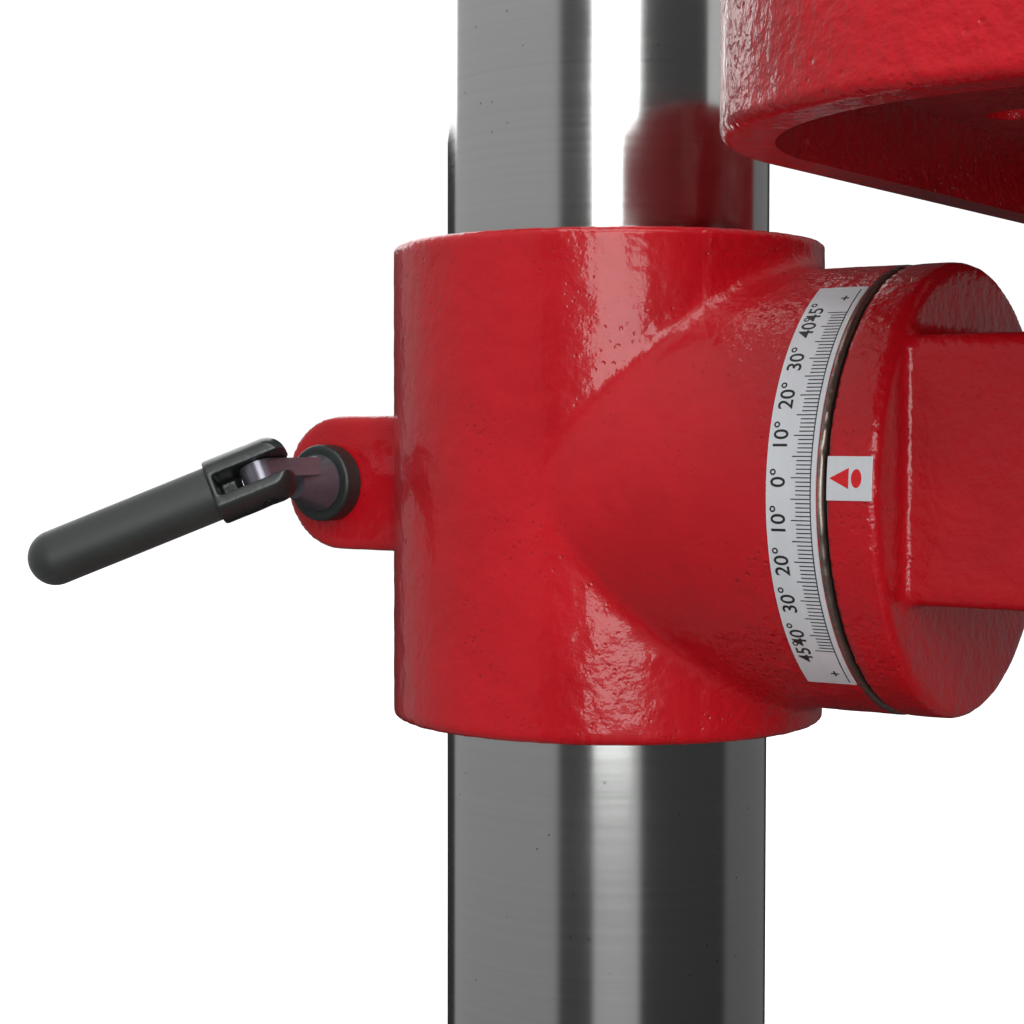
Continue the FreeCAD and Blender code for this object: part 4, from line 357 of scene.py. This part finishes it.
def enamel(name, colour, grain, relief, pitting=0.6, bare=(), smooth_past=None):
    """Gloss enamel over a casting, left bare and machined inside the given bands."""
    material, tree, shader = new_material(name, Coat_Weight=ENAMEL_COAT, Coat_Roughness=0.09,
                                          Coat_IOR=1.5,
                                          Specular_IOR_Level=0.22)
    skin = use(tree, "cast", Grain=grain, Pitting=pitting)
    worn = use(tree, "handling", Scale=26.0)
    painted = blend_colours(tree, worn.outputs["Smears"], tint(colour, 0.86), tint(colour, 1.1))
    painted = blend_colours(tree, skin.outputs["Pits"], painted, tint(colour, 0.62))
    rough = spread(tree, worn.outputs["Smears"], 0.0, 1.0, 0.28, 0.4)
    height = skin.outputs["Height"]
    if smooth_past:
        eased = spread(tree, away_from_column(tree, smooth_past), 0.0, 1.0, 1.0, 0.3)
        height = maths(tree, "MULTIPLY", height, eased)
    if bare:
        masks = [use(tree, "band", **band).outputs["Mask"] for band in bare]
        mask = masks[0]
        for other in masks[1:]:
            mask = maths(tree, "MAXIMUM", mask, other)
        lines = use(tree, "machined", Stretch=(900.0, 40.0, 900.0))
        metal = blend_colours(tree, lines.outputs["Lines"], tint(BARE_IRON, 0.7), tint(BARE_IRON, 1.5))
        painted = blend_colours(tree, mask, painted, metal)
        kept = maths(tree, "SUBTRACT", 1.0, mask)
        height = maths(tree, "MULTIPLY", height, kept)
        tree.links.new(maths(tree, "MULTIPLY", mask, 0.9), shader.inputs["Metallic"])
        tree.links.new(maths(tree, "MULTIPLY", kept, ENAMEL_COAT), shader.inputs["Coat Weight"])
    tree.links.new(painted, shader.inputs["Base Color"])
    tree.links.new(rough, shader.inputs["Roughness"])
    bump(tree, shader, height, relief)
    return material


def metal(name, colour, roughness, stretch, depth=0.00001, contrast=0.35, specks=0.0, metallic=1.0):
    """Turned, ground or drawn metal with its tool lines."""
    material, tree, shader = new_material(name, metallic=metallic, roughness=roughness)
    lines = use(tree, "machined", Stretch=stretch)
    worn = use(tree, "handling", Scale=22.0)
    tone = spread(tree, even_mix(tree, lines.outputs["Lines"], lines.outputs["Streaks"]), 0.32, 0.68)
    body = blend_colours(tree, tone, tint(colour, 1 - contrast), tint(colour, 1 + contrast * 0.5))
    if specks:
        mark = maths(tree, "MULTIPLY", worn.outputs["Specks"], specks)
        body = blend_colours(tree, mark, body, tint(colour, 0.25))
    tree.links.new(body, shader.inputs["Base Color"])
    gloss = even_mix(tree, tone, worn.outputs["Smears"])
    tree.links.new(spread(tree, gloss, 0.0, 1.0, roughness * 0.75, roughness * 1.3),
                   shader.inputs["Roughness"])
    bump(tree, shader, lines.outputs["Lines"], depth)
    return material


def moulded(name, colour, roughness, grain, depth, coat=0.0, sheen=0.0):
    """Plastic, rubber or powder coat with its own fine grain."""
    material, tree, shader = new_material(name, roughness=roughness, Coat_Weight=coat, Sheen_Weight=sheen)
    where = place(tree)
    fine = noise(tree, where, grain, 2.0, 0.6)
    worn = use(tree, "handling", Scale=40.0)
    tree.links.new(blend_colours(tree, worn.outputs["Smears"], tint(colour, 0.8), tint(colour, 1.25)),
                   shader.inputs["Base Color"])
    gloss = even_mix(tree, fine, worn.outputs["Smears"])
    tree.links.new(spread(tree, gloss, 0.2, 0.8, roughness * 0.8, min(1.0, roughness * 1.25)),
                   shader.inputs["Roughness"])
    bump(tree, shader, fine, depth)
    return material


def steel_with_black(name, from_x):
    """Polished dark steel whose far end, past one X, is blackened."""
    material, tree, shader = new_material(name, metallic=1.0, roughness=0.2)
    black = use(tree, "band", **flat_band((1.0, 0.0, 0.0), from_x, 1.0)).outputs["Mask"]
    lines = use(tree, "machined", Stretch=(300.0, 300.0, 300.0))
    bright = blend_colours(tree, lines.outputs["Lines"], (0.13, 0.125, 0.15), (0.24, 0.235, 0.27))
    dull = blend_colours(tree, lines.outputs["Streaks"], (0.012, 0.016, 0.015), (0.028, 0.034, 0.032))
    tree.links.new(blend_colours(tree, black, bright, dull), shader.inputs["Base Color"])
    tree.links.new(spread(tree, black, 0.0, 1.0, 0.27, 0.42), shader.inputs["Roughness"])
    tree.links.new(spread(tree, black, 0.0, 1.0, 0.7, 0.2), shader.inputs["Metallic"])
    bump(tree, shader, lines.outputs["Lines"], 0.000008)
    return material


def flat_band(axis, low, high, blur=0.0):
    """Inputs of a band mask."""
    return {"Axis": axis, "From": low, "To": high, "Blur": blur}


def build_finishes():
    """Every finish, by the record's slot or by the piece that needs its own."""
    settings = bpy.context.scene.press_enamel
    red = tuple(settings.colour)
    grain, relief = settings.grain, settings.relief
    sheet = tint(red, 0.92)
    label_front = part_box("scale_label")[0].y
    flange_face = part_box("table_arm")[1].y
    stud_collar = JOINT_PLACE["clamp_turn"].x - STUD_COLLAR
    collar_radius = -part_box("table_bracket")[0].x
    return {
        "red_enamel": enamel("Enamel, cast", red, grain, relief),
        "bracket": enamel("Enamel, bracket", red, grain, relief, 0.9,
                          [flat_band(OUT, 0.0, label_front - 0.1 * MM, 0.3 * MM)], collar_radius),
        "arm": enamel("Enamel, arm", red, grain, relief * 0.8, 0.5,
                      [flat_band(OUT, flange_face - 0.5 * MM, 1.0, 0.2 * MM)]),
        "table": enamel("Enamel, table", red, grain * 0.8, relief * 1.2, 0.8,
                        [flat_band(UP, TABLE_TOP - 0.15 * MM, 2.0)]),
        "base": enamel("Enamel, base", red, grain * 0.8, relief * 1.2, 0.8,
                       [flat_band(UP, BASE_TOP - 0.15 * MM, 2.0)]),
        "cover_paint": enamel("Enamel, sheet", sheet, grain * 0.5, relief * 0.15, 0.0),
        "ground_steel": metal("Ground steel", (0.60, 0.61, 0.595), 0.13, (9.0, 9.0, 3600.0),
                              0.0000007, 0.05, 0.9),
        "bright_steel": metal("Bright steel", (0.64, 0.64, 0.63), 0.18, (8.0, 8.0, 2400.0),
                              0.000002, 0.14),
        "dark_steel": metal("Polished dark steel", (0.30, 0.30, 0.31), 0.2, (300.0, 300.0, 300.0),
                            0.000008, 0.3),
        "stud": steel_with_black("Clamp stud", stud_collar),
        "black_oxide": metal("Black oxide", (0.045, 0.047, 0.05), 0.38, (700.0, 700.0, 700.0),
                             0.00002, 0.4),
        "zinc": metal("Zinc plate", (0.66, 0.67, 0.66), 0.28, (420.0, 420.0, 420.0), 0.00001, 0.22),
        "pulley_alloy": metal("Turned alloy", (0.68, 0.69, 0.70), 0.3, (16.0, 16.0, 1500.0),
                              0.00002, 0.25),
        "scale_plate": metal("Scale foil", (0.72, 0.75, 0.78), 0.42, (260.0, 2600.0, 260.0),
                             0.000003, 0.05, 0.0, 0.25),
        "lever_black": moulded("Lever black", (0.019, 0.024, 0.023), 0.34, 2200.0, 0.00003, 0.15),
        "grip_rubber": moulded("Grip sleeve", (0.023, 0.029, 0.027), 0.5, 3000.0, 0.00003, 0.0, 0.15),
        "motor_grey": moulded("Motor paint", (0.055, 0.058, 0.062), 0.4, 1500.0, 0.00008, 0.2),
        "belt_rubber": moulded("Belt rubber", (0.018, 0.018, 0.018), 0.75, 2600.0, 0.00005, 0.0, 0.2),
        "black_plastic": moulded("Switch plastic", (0.022, 0.022, 0.024), 0.45, 1800.0, 0.00005),
        "knob_plastic": moulded("Knob plastic", (0.014, 0.014, 0.016), 0.14, 600.0, 0.000008, 0.6),
        "stop_red": moulded("Stop button", (0.62, 0.012, 0.012), 0.22, 700.0, 0.000008, 0.5),
        "start_green": moulded("Start button", (0.02, 0.33, 0.06), 0.22, 700.0, 0.000008, 0.5),
    }


FINISHES = {}
OWN_FINISH = {"clamp_stud": "stud", "table_bracket": "bracket", "table_arm": "arm", "table": "table",
              "base": "base"}


def ink_material(name, colour, roughness):
    """Printed ink, a little uneven."""
    material, tree, shader = new_material(name, roughness=roughness)
    uneven = noise(tree, place(tree), 1600.0, 3.0)
    tree.links.new(blend_colours(tree, uneven, tint(colour, 0.7), tint(colour, 1.4)),
                   shader.inputs["Base Color"])
    tree.links.new(spread(tree, uneven, 0.3, 0.7, roughness * 0.8, roughness * 1.2),
                   shader.inputs["Roughness"])
    bump(tree, shader, uneven, 0.00001)
    return material


# ---------------------------------------------------------------- mesh tools

def only(*pieces):
    """Selects just these pieces, the first one active."""
    bpy.ops.object.select_all(action="DESELECT")
    for piece in pieces:
        piece.select_set(True)
    bpy.context.view_layer.objects.active = pieces[0]


def named(name):
    """The active piece, given its name."""
    piece = bpy.context.view_layer.objects.active
    piece.name = name
    piece.data.name = name
    return piece


def settle(piece):
    """Puts the piece's place into its mesh."""
    only(piece)
    bpy.ops.object.transform_apply(location=True, rotation=True, scale=True)
    return piece


def cad_copy(node, name):
    """An editable copy of a CAD node, its loose triangles joined up."""
    piece = frame["nodes"][node].copy()
    piece.data = piece.data.copy()
    piece.parent = None
    piece.name = name
    piece.data.name = name
    for key in list(piece.keys()):
        del piece[key]
    bpy.context.scene.collection.objects.link(piece)
    only(piece)
    bpy.ops.object.mode_set(mode="EDIT")
    bpy.ops.mesh.select_all(action="SELECT")
    bpy.ops.mesh.remove_doubles(threshold=0.000002)
    bpy.ops.object.mode_set(mode="OBJECT")
    return piece


def apply_modifier(piece, name, kind, **values):
    """Adds a modifier with its settings and applies it."""
    modifier = piece.modifiers.new(name, kind)
    for label, value in values.items():
        setattr(modifier, label, value)
    only(piece)
    bpy.ops.object.modifier_apply(modifier=modifier.name)


def skin_texture(name, size):
    """Soft clouds for the casting's uneven skin."""
    texture = bpy.data.textures.new(name, "CLOUDS")
    texture.noise_scale = size
    texture.noise_depth = 2
    return texture


def recast(node, name, voxel, rounds, unevenness, wave):
    """The node as a rounded casting with an uneven skin."""
    piece = cad_copy(node, name)
    apply_modifier(piece, "Fill", "REMESH", mode="VOXEL", voxel_size=voxel, adaptivity=0.0)
    apply_modifier(piece, "Round", "SMOOTH", factor=0.5, iterations=rounds)
    texture = skin_texture(name + " skin", wave)
    apply_modifier(piece, "Skin", "DISPLACE", texture=texture, texture_coords="LOCAL",
                   strength=unevenness, mid_level=0.5)
    bpy.ops.object.shade_smooth()
    return piece


def paint(piece, finish):
    """Gives the piece one finish."""
    piece.data.materials.clear()
    piece.data.materials.append(finish)


def finish_piece(piece, material, body, slot, *nodes):
    """Paints the piece and hands it to its body, for the nodes it stands for."""
    paint(piece, material)
    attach(piece, body)
    if nodes:
        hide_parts(*nodes)
    return piece


# ---------------------------------------------------------------- operators

class PRESS_OT_finishes(bpy.types.Operator):
    """Give every part of the frame its finish"""

    bl_idname = "press.finishes"
    bl_label = "Finishes"

    def execute(self, context):
        FINISHES.update(build_finishes())
        for node, piece in frame["nodes"].items():
            for place_in_mesh in piece.material_slots:
                slot = place_in_mesh.material.name.split(".")[0]
                place_in_mesh.material = FINISHES[OWN_FINISH.get(node, slot)]
        return {"FINISHED"}


class PRESS_OT_bracket(bpy.types.Operator):
    """Cast the table bracket"""

    bl_idname = "press.bracket"
    bl_label = "Bracket casting"

    def execute(self, context):
        voxel = context.scene.press_enamel.voxel
        piece = recast("table_bracket", "bracket_casting", voxel, 1, 0.3 * MM, 4 * MM)
        finish_piece(piece, FINISHES["bracket"], "bracket", "red_enamel", "table_bracket")
        return {"FINISHED"}


class PRESS_OT_arm(bpy.types.Operator):
    """Cast the table arm"""

    bl_idname = "press.arm"
    bl_label = "Arm casting"

    def execute(self, context):
        voxel = context.scene.press_enamel.voxel
        piece = recast("table_arm", "arm_casting", voxel, 3, 0.2 * MM, 6 * MM)
        finish_piece(piece, FINISHES["arm"], "arm", "red_enamel", "table_arm")
        return {"FINISHED"}


class PRESS_OT_lever(bpy.types.Operator):
    """Forge the clamp lever's fork"""

    bl_idname = "press.lever"
    bl_label = "Lever fork"

    def execute(self, context):
        piece = recast("lever_fork", "lever_fork_forged", 0.4 * MM, 7, 0.05 * MM, 3 * MM)
        finish_piece(piece, FINISHES["lever_black"], "clamp_lever", "lever_black", "lever_fork")
        return {"FINISHED"}


def wrapped(piece, radius, centre, angle):
    """Bends a flat piece round the tilt axis.

    The flat piece is read along its X, its characters' tops point along Y, and its Z is height.
    """
    for vertex in piece.data.vertices:
        turn = angle + vertex.co.x / radius
        out = radius + vertex.co.z
        vertex.co = (centre.x - out * math.cos(turn), vertex.co.y, centre.z + out * math.sin(turn))
    piece.data.update()
    return piece


def flat_bar(length, width, x, y, thickness):
    """A thin bar lying flat."""
    bpy.ops.object.select_all(action="DESELECT")
    bpy.ops.mesh.primitive_cube_add(size=1, location=(x, y, thickness / 2))
    bar = bpy.context.view_layer.objects.active
    bar.scale = (length, width, thickness)
    settle(bar)
    return bar


def tick(angle, radius, from_y, to_y, line):
    """One mark of the tilt scale, lying flat."""
    return flat_bar(line, to_y - from_y, angle * radius, (from_y + to_y) / 2, PRINT)


def flat_text(text, height, x, y, name):
    """Text lying flat, its middle at x and y, made a mesh."""
    bpy.ops.object.select_all(action="DESELECT")
    bpy.ops.object.text_add(location=(x, y, 0))
    label = bpy.context.view_layer.objects.active
    label.data.body = text
    label.data.size = height / CAP_HEIGHT
    label.data.align_x = "CENTER"
    label.data.align_y = "CENTER"
    label.data.extrude = 0.025 * MM
    label.data.offset = INK_SPREAD
    label.data.resolution_u = 4
    only(label)
    bpy.ops.object.convert(target="MESH")
    return settle(named(name))


def merged(pieces, name):
    """Joins loose pieces into one."""
    only(*pieces)
    bpy.ops.object.join()
    return named(name)


class PRESS_OT_tilt_scale(bpy.types.Operator):
    """Print the tilt scale's marks and numerals"""

    bl_idname = "press.tilt_scale"
    bl_label = "Tilt scale"

    def execute(self, context):
        settings = context.scene.press_scale
        low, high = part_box("scale_label")
        centre = JOINT_PLACE["table_tilt"]
        radius = centre.x - low.x + 0.01 * MM
        base_y = low.y + 1.2 * MM
        short, long = base_y + 3.4 * MM, base_y + 4.5 * MM
        marks = []
        for degree in range(-settings.reach, settings.reach + 1):
            end = long if degree % 5 == 0 else short
            marks.append(tick(math.radians(degree), radius, base_y, end, settings.line))
        step = math.radians(1)
        for number in range(-settings.reach - 12, settings.reach + 10):
            along = (number + 0.5) * step * radius
            marks.append(flat_bar(step * radius * 1.05, settings.line, along, base_y, PRINT))
        text_y = high.y - 2.9 * MM
        for degree in SCALE_NUMBERS:
            nudge = 0.6 * math.copysign(1, degree) if abs(degree) == 45 else 0
            along = math.radians(degree + nudge) * radius
            marks.append(flat_text(f"{abs(degree)}°", settings.text_height, along, text_y, "numeral"))
        for degree in (-settings.reach - 8.5, settings.reach + 6):
            along = math.radians(degree) * radius
            marks.append(flat_text("+", settings.text_height * 0.8, along, base_y + 2.2 * MM, "cross"))
        piece = wrapped(merged(marks, "scale_marks"), radius, centre, ZERO_ANGLE)
        ink = ink_material("Scale ink", tuple(settings.ink), 0.45)
        finish_piece(piece, ink, "bracket", "black_oxide")
        return {"FINISHED"}


def flat_round(radius_x, radius_y, x, y, thickness, sides=48):
    """A thin flat oval."""
    bpy.ops.object.select_all(action="DESELECT")
    bpy.ops.mesh.primitive_cylinder_add(vertices=sides, radius=1, depth=1, location=(x, y, thickness / 2))
    oval = bpy.context.view_layer.objects.active
    oval.scale = (radius_x, radius_y, thickness)
    return settle(oval)


def flat_wedge(width, height, x, y, thickness):
    """A thin flat triangle whose tip points along Y; y is its base."""
    bpy.ops.object.select_all(action="DESELECT")
    bpy.ops.mesh.primitive_cylinder_add(vertices=3, radius=1, depth=1)
    wedge = bpy.context.view_layer.objects.active
    low = min(vertex.co.y for vertex in wedge.data.vertices)
    high = max(vertex.co.y for vertex in wedge.data.vertices)
    tip_up = sum(vertex.co.y > 0.9 for vertex in wedge.data.vertices) == 2
    for vertex in wedge.data.vertices:
        share = (vertex.co.y - low) / (high - low)
        share = share if tip_up else 1 - share
        vertex.co = (x + vertex.co.x * width / math.sqrt(3), y + share * height,
                     (vertex.co.z + 0.5) * thickness)
    return wedge


class PRESS_OT_pointer(bpy.types.Operator):
    """Stick the pointer plate on the arm's flange"""

    bl_idname = "press.pointer"
    bl_label = "Pointer"

    def execute(self, context):
        settings = context.scene.press_scale
        centre = JOINT_PLACE["table_tilt"]
        radius = centre.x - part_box("scale_label")[0].x - FOIL
        low_y, high_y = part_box("table_arm")[1].y - 10.6 * MM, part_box("table_arm")[1].y - 0.6 * MM
        bpy.ops.object.select_all(action="DESELECT")
        bpy.ops.mesh.primitive_grid_add(x_subdivisions=24, y_subdivisions=12, size=1)
        plate = bpy.context.view_layer.objects.active
        plate.scale = (9.2 * MM, high_y - low_y, 1)
        plate.location = (0, (low_y + high_y) / 2, 0)
        settle(plate)
        bpy.ops.object.mode_set(mode="EDIT")
        bpy.ops.mesh.select_all(action="SELECT")
        bpy.ops.mesh.extrude_region_move(TRANSFORM_OT_translate={"value": (0, 0, FOIL)})
        bpy.ops.mesh.select_all(action="SELECT")
        bpy.ops.mesh.normals_make_consistent(inside=False)
        bpy.ops.object.mode_set(mode="OBJECT")
        apply_modifier(plate, "Soft edge", "BEVEL", width=0.08 * MM, segments=2, limit_method="ANGLE")
        plate = wrapped(named("pointer_plate"), radius, centre, ZERO_ANGLE)
        finish_piece(plate, FINISHES["scale_plate"], "arm", "scale_plate")
        mark_base = high_y - 4.9 * MM
        arrow = flat_wedge(4.4 * MM, 4.3 * MM, 0, mark_base, POINTER_INK)
        dot = flat_round(1.95 * MM, 1.15 * MM, 0, mark_base - 1.7 * MM, POINTER_INK)
        mark = merged([arrow, dot], "pointer_mark")
        mark = wrapped(mark, radius + 0.31 * MM, centre, ZERO_ANGLE)
        ink = ink_material("Pointer ink", tuple(settings.pointer), 0.35)
        finish_piece(mark, ink, "arm", "stop_red")
        return {"FINISHED"}


# ---------------------------------------------------------------- studio

def softbox(name, place_at, aim, width, height, power):
    """A rectangular lamp aimed at a point."""
    data = bpy.data.lights.new(name, "AREA")
    data.shape = "RECTANGLE"
    data.size = width
    data.size_y = height
    data.energy = power
    lamp = bpy.data.objects.new(name, data)
    bpy.context.scene.collection.objects.link(lamp)
    lamp.location = place_at
    lamp.rotation_euler = (Vector(aim) - Vector(place_at)).to_track_quat("-Z", "Y").to_euler()


class PRESS_OT_studio(bpy.types.Operator):
    """Set the floor, the lamps and the camera"""

    bl_idname = "press.studio"
    bl_label = "Studio"

    def execute(self, context):
        settings = context.scene.press_studio
        self.lay_floor(settings)
        self.light_room(context)
        self.place_camera(context, settings)
        context.scene.view_settings.view_transform = "Standard"
        return {"FINISHED"}

    def lay_floor(self, settings):
        bpy.ops.object.select_all(action="DESELECT")
        bpy.ops.mesh.primitive_grid_add(x_subdivisions=8, y_subdivisions=8, size=9, location=(0, 0, -0.0005))
        floor = settle(named("studio_floor"))
        material, tree, shader = new_material("Studio floor", roughness=0.8)
        cloud = noise(tree, place(tree), 3.0, 2.0)
        tree.links.new(blend_colours(tree, cloud, tint(settings.floor, 0.98), tuple(settings.floor)),
                       shader.inputs["Base Color"])
        far = add(tree, "ShaderNodeVectorMath", operation="LENGTH")
        tree.links.new(place(tree), far.inputs[0])
        glow = add(tree, "ShaderNodeEmission", Color=(1, 1, 1, 1))
        tree.links.new(spread(tree, far.outputs["Value"], 0.35, 1.5, 0.66, 1.0), glow.inputs["Strength"])
        seen = tree.nodes.new("ShaderNodeAddShader")
        tree.links.new(shader.outputs[0], seen.inputs[0])
        tree.links.new(glow.outputs[0], seen.inputs[1])
        dim = add(tree, "ShaderNodeBsdfDiffuse", Color=(*tint(settings.floor, 0.3), 1))
        clear = tree.nodes.new("ShaderNodeBsdfTransparent")
        path = tree.nodes.new("ShaderNodeLightPath")
        unseen = tree.nodes.new("ShaderNodeMixShader")
        tree.links.new(path.outputs["Is Glossy Ray"], unseen.inputs[0])
        tree.links.new(dim.outputs[0], unseen.inputs[1])
        tree.links.new(clear.outputs[0], unseen.inputs[2])
        mix = tree.nodes.new("ShaderNodeMixShader")
        tree.links.new(path.outputs["Is Camera Ray"], mix.inputs[0])
        tree.links.new(unseen.outputs[0], mix.inputs[1])
        tree.links.new(seen.outputs[0], mix.inputs[2])
        tree.links.new(mix.outputs[0], tree.nodes["Material Output"].inputs["Surface"])
        paint(floor, material)

    def light_room(self, context):
        """A white surround for the camera, and a darker room with grey walls for the object."""
        world = bpy.data.worlds.new("Studio")
        context.scene.world = world
        world.use_nodes = True
        tree = world.node_tree
        tree.nodes.clear()
        seen = add(tree, "ShaderNodeBackground", Color=(1, 1, 1, 1), Strength=1.05)
        lit = add(tree, "ShaderNodeBackground", Strength=1.0)
        direction = add(tree, "ShaderNodeTexCoord").outputs["Generated"]
        across = [add(tree, "ShaderNodeVectorMath", operation="DOT_PRODUCT") for _ in range(2)]
        for node, axis in zip(across, (RIGHT, FRONT)):
            node.inputs[1].default_value = axis
            tree.links.new(direction, node.inputs[0])
        bearing = maths(tree, "ARCTAN2", across[0].outputs["Value"], across[1].outputs["Value"])
        walls = add(tree, "ShaderNodeValToRGB")
        ramp = walls.color_ramp
        for degrees, level in WALLS[1:-1]:
            stop = ramp.elements.new(degrees / 360 + 0.5)
            stop.color = (level, level, level * 1.01, 1)
        for end, (_, level) in ((0, WALLS[0]), (-1, WALLS[-1])):
            ramp.elements[end].color = (level, level, level * 1.01, 1)
        tree.links.new(spread(tree, bearing, -math.pi, math.pi), walls.inputs["Fac"])
        split = add(tree, "ShaderNodeSeparateXYZ")
        tree.links.new(direction, split.inputs[0])
        height = spread(tree, split.outputs["Z"], -0.5, 0.7, 0.6, 1.6)
        level = add(tree, "ShaderNodeVectorMath", operation="SCALE")
        tree.links.new(walls.outputs["Color"], level.inputs[0])
        tree.links.new(height, level.inputs["Scale"])
        tree.links.new(level.outputs[0], lit.inputs["Color"])
        path = add(tree, "ShaderNodeLightPath")
        mix = add(tree, "ShaderNodeMixShader")
        tree.links.new(path.outputs["Is Camera Ray"], mix.inputs[0])
        tree.links.new(lit.outputs[0], mix.inputs[1])
        tree.links.new(seen.outputs[0], mix.inputs[2])
        out = add(tree, "ShaderNodeOutputWorld")
        tree.links.new(mix.outputs[0], out.inputs["Surface"])
        centre = JOINT_PLACE["table_tilt"]
        key = centre + Vector(FRONT) * 1.25 - Vector(RIGHT) * 0.06 + Vector((0, 0, 0.42))
        softbox("Key", key, centre, 0.72, 1.4, 15)
        softbox("Overhead", (-0.35, -0.3, 2.1), centre, 1.3, 1.1, 15)
        softbox("Front", (0.75, -1.7, 1.0), centre, 0.6, 1.4, 1.5)
        softbox("Rear", (0.9, 1.5, 1.3), centre, 1.2, 1.2, 9)

    def place_camera(self, context, settings):
        data = bpy.data.cameras.new("Camera")
        camera = bpy.data.objects.new("Camera", data)
        context.scene.collection.objects.link(camera)
        flat = math.cos(settings.dip)
        forward = Vector((math.cos(settings.heading) * flat, math.sin(settings.heading) * flat,
                          -math.sin(settings.dip)))
        right = forward.cross(Vector((0, 0, 1))).normalized()
        up = right.cross(forward)
        turn = Matrix((right, up, -forward)).transposed().to_4x4()
        camera.matrix_world = Matrix.Translation(settings.camera) @ turn
        data.sensor_width = 36
        data.lens = settings.lens
        data.shift_x, data.shift_y = settings.shift
        data.clip_start = 0.01
        context.scene.camera = camera


# ---------------------------------------------------------------- panel and run

OPERATORS = (PRESS_OT_finishes, PRESS_OT_bracket, PRESS_OT_arm, PRESS_OT_lever,
             PRESS_OT_tilt_scale, PRESS_OT_pointer, PRESS_OT_studio)


class PRESS_PT_build(bpy.types.Panel):
    """Steps that build the drill press's look"""

    bl_label = "Drill Press"
    bl_idname = "PRESS_PT_build"
    bl_space_type = "VIEW_3D"
    bl_region_type = "UI"
    bl_category = "Drill Press"

    def draw(self, context):
        layout = self.layout
        scene = context.scene
        for group in (scene.press_enamel, scene.press_scale, scene.press_studio):
            box = layout.box()
            for name in group.__annotations__:
                box.prop(group, name)
        for operator in OPERATORS:
            layout.operator(operator.bl_idname)


SETTINGS = {"press_enamel": EnamelSettings, "press_scale": ScaleSettings, "press_studio": StudioSettings}
CLASSES = (*SETTINGS.values(), *OPERATORS, PRESS_PT_build)


def register():
    for kind in CLASSES:
        bpy.utils.register_class(kind)
    for name, kind in SETTINGS.items():
        setattr(bpy.types.Scene, name, bpy.props.PointerProperty(type=kind))


def unregister():
    for name in SETTINGS:
        delattr(bpy.types.Scene, name)
    for kind in reversed(CLASSES):
        bpy.utils.unregister_class(kind)


def main():
    """Builds everything."""
    register()
    for operator in OPERATORS:
        area, name = operator.bl_idname.split(".")
        getattr(getattr(bpy.ops, area), name)()


if __name__ == "__main__":
    main()
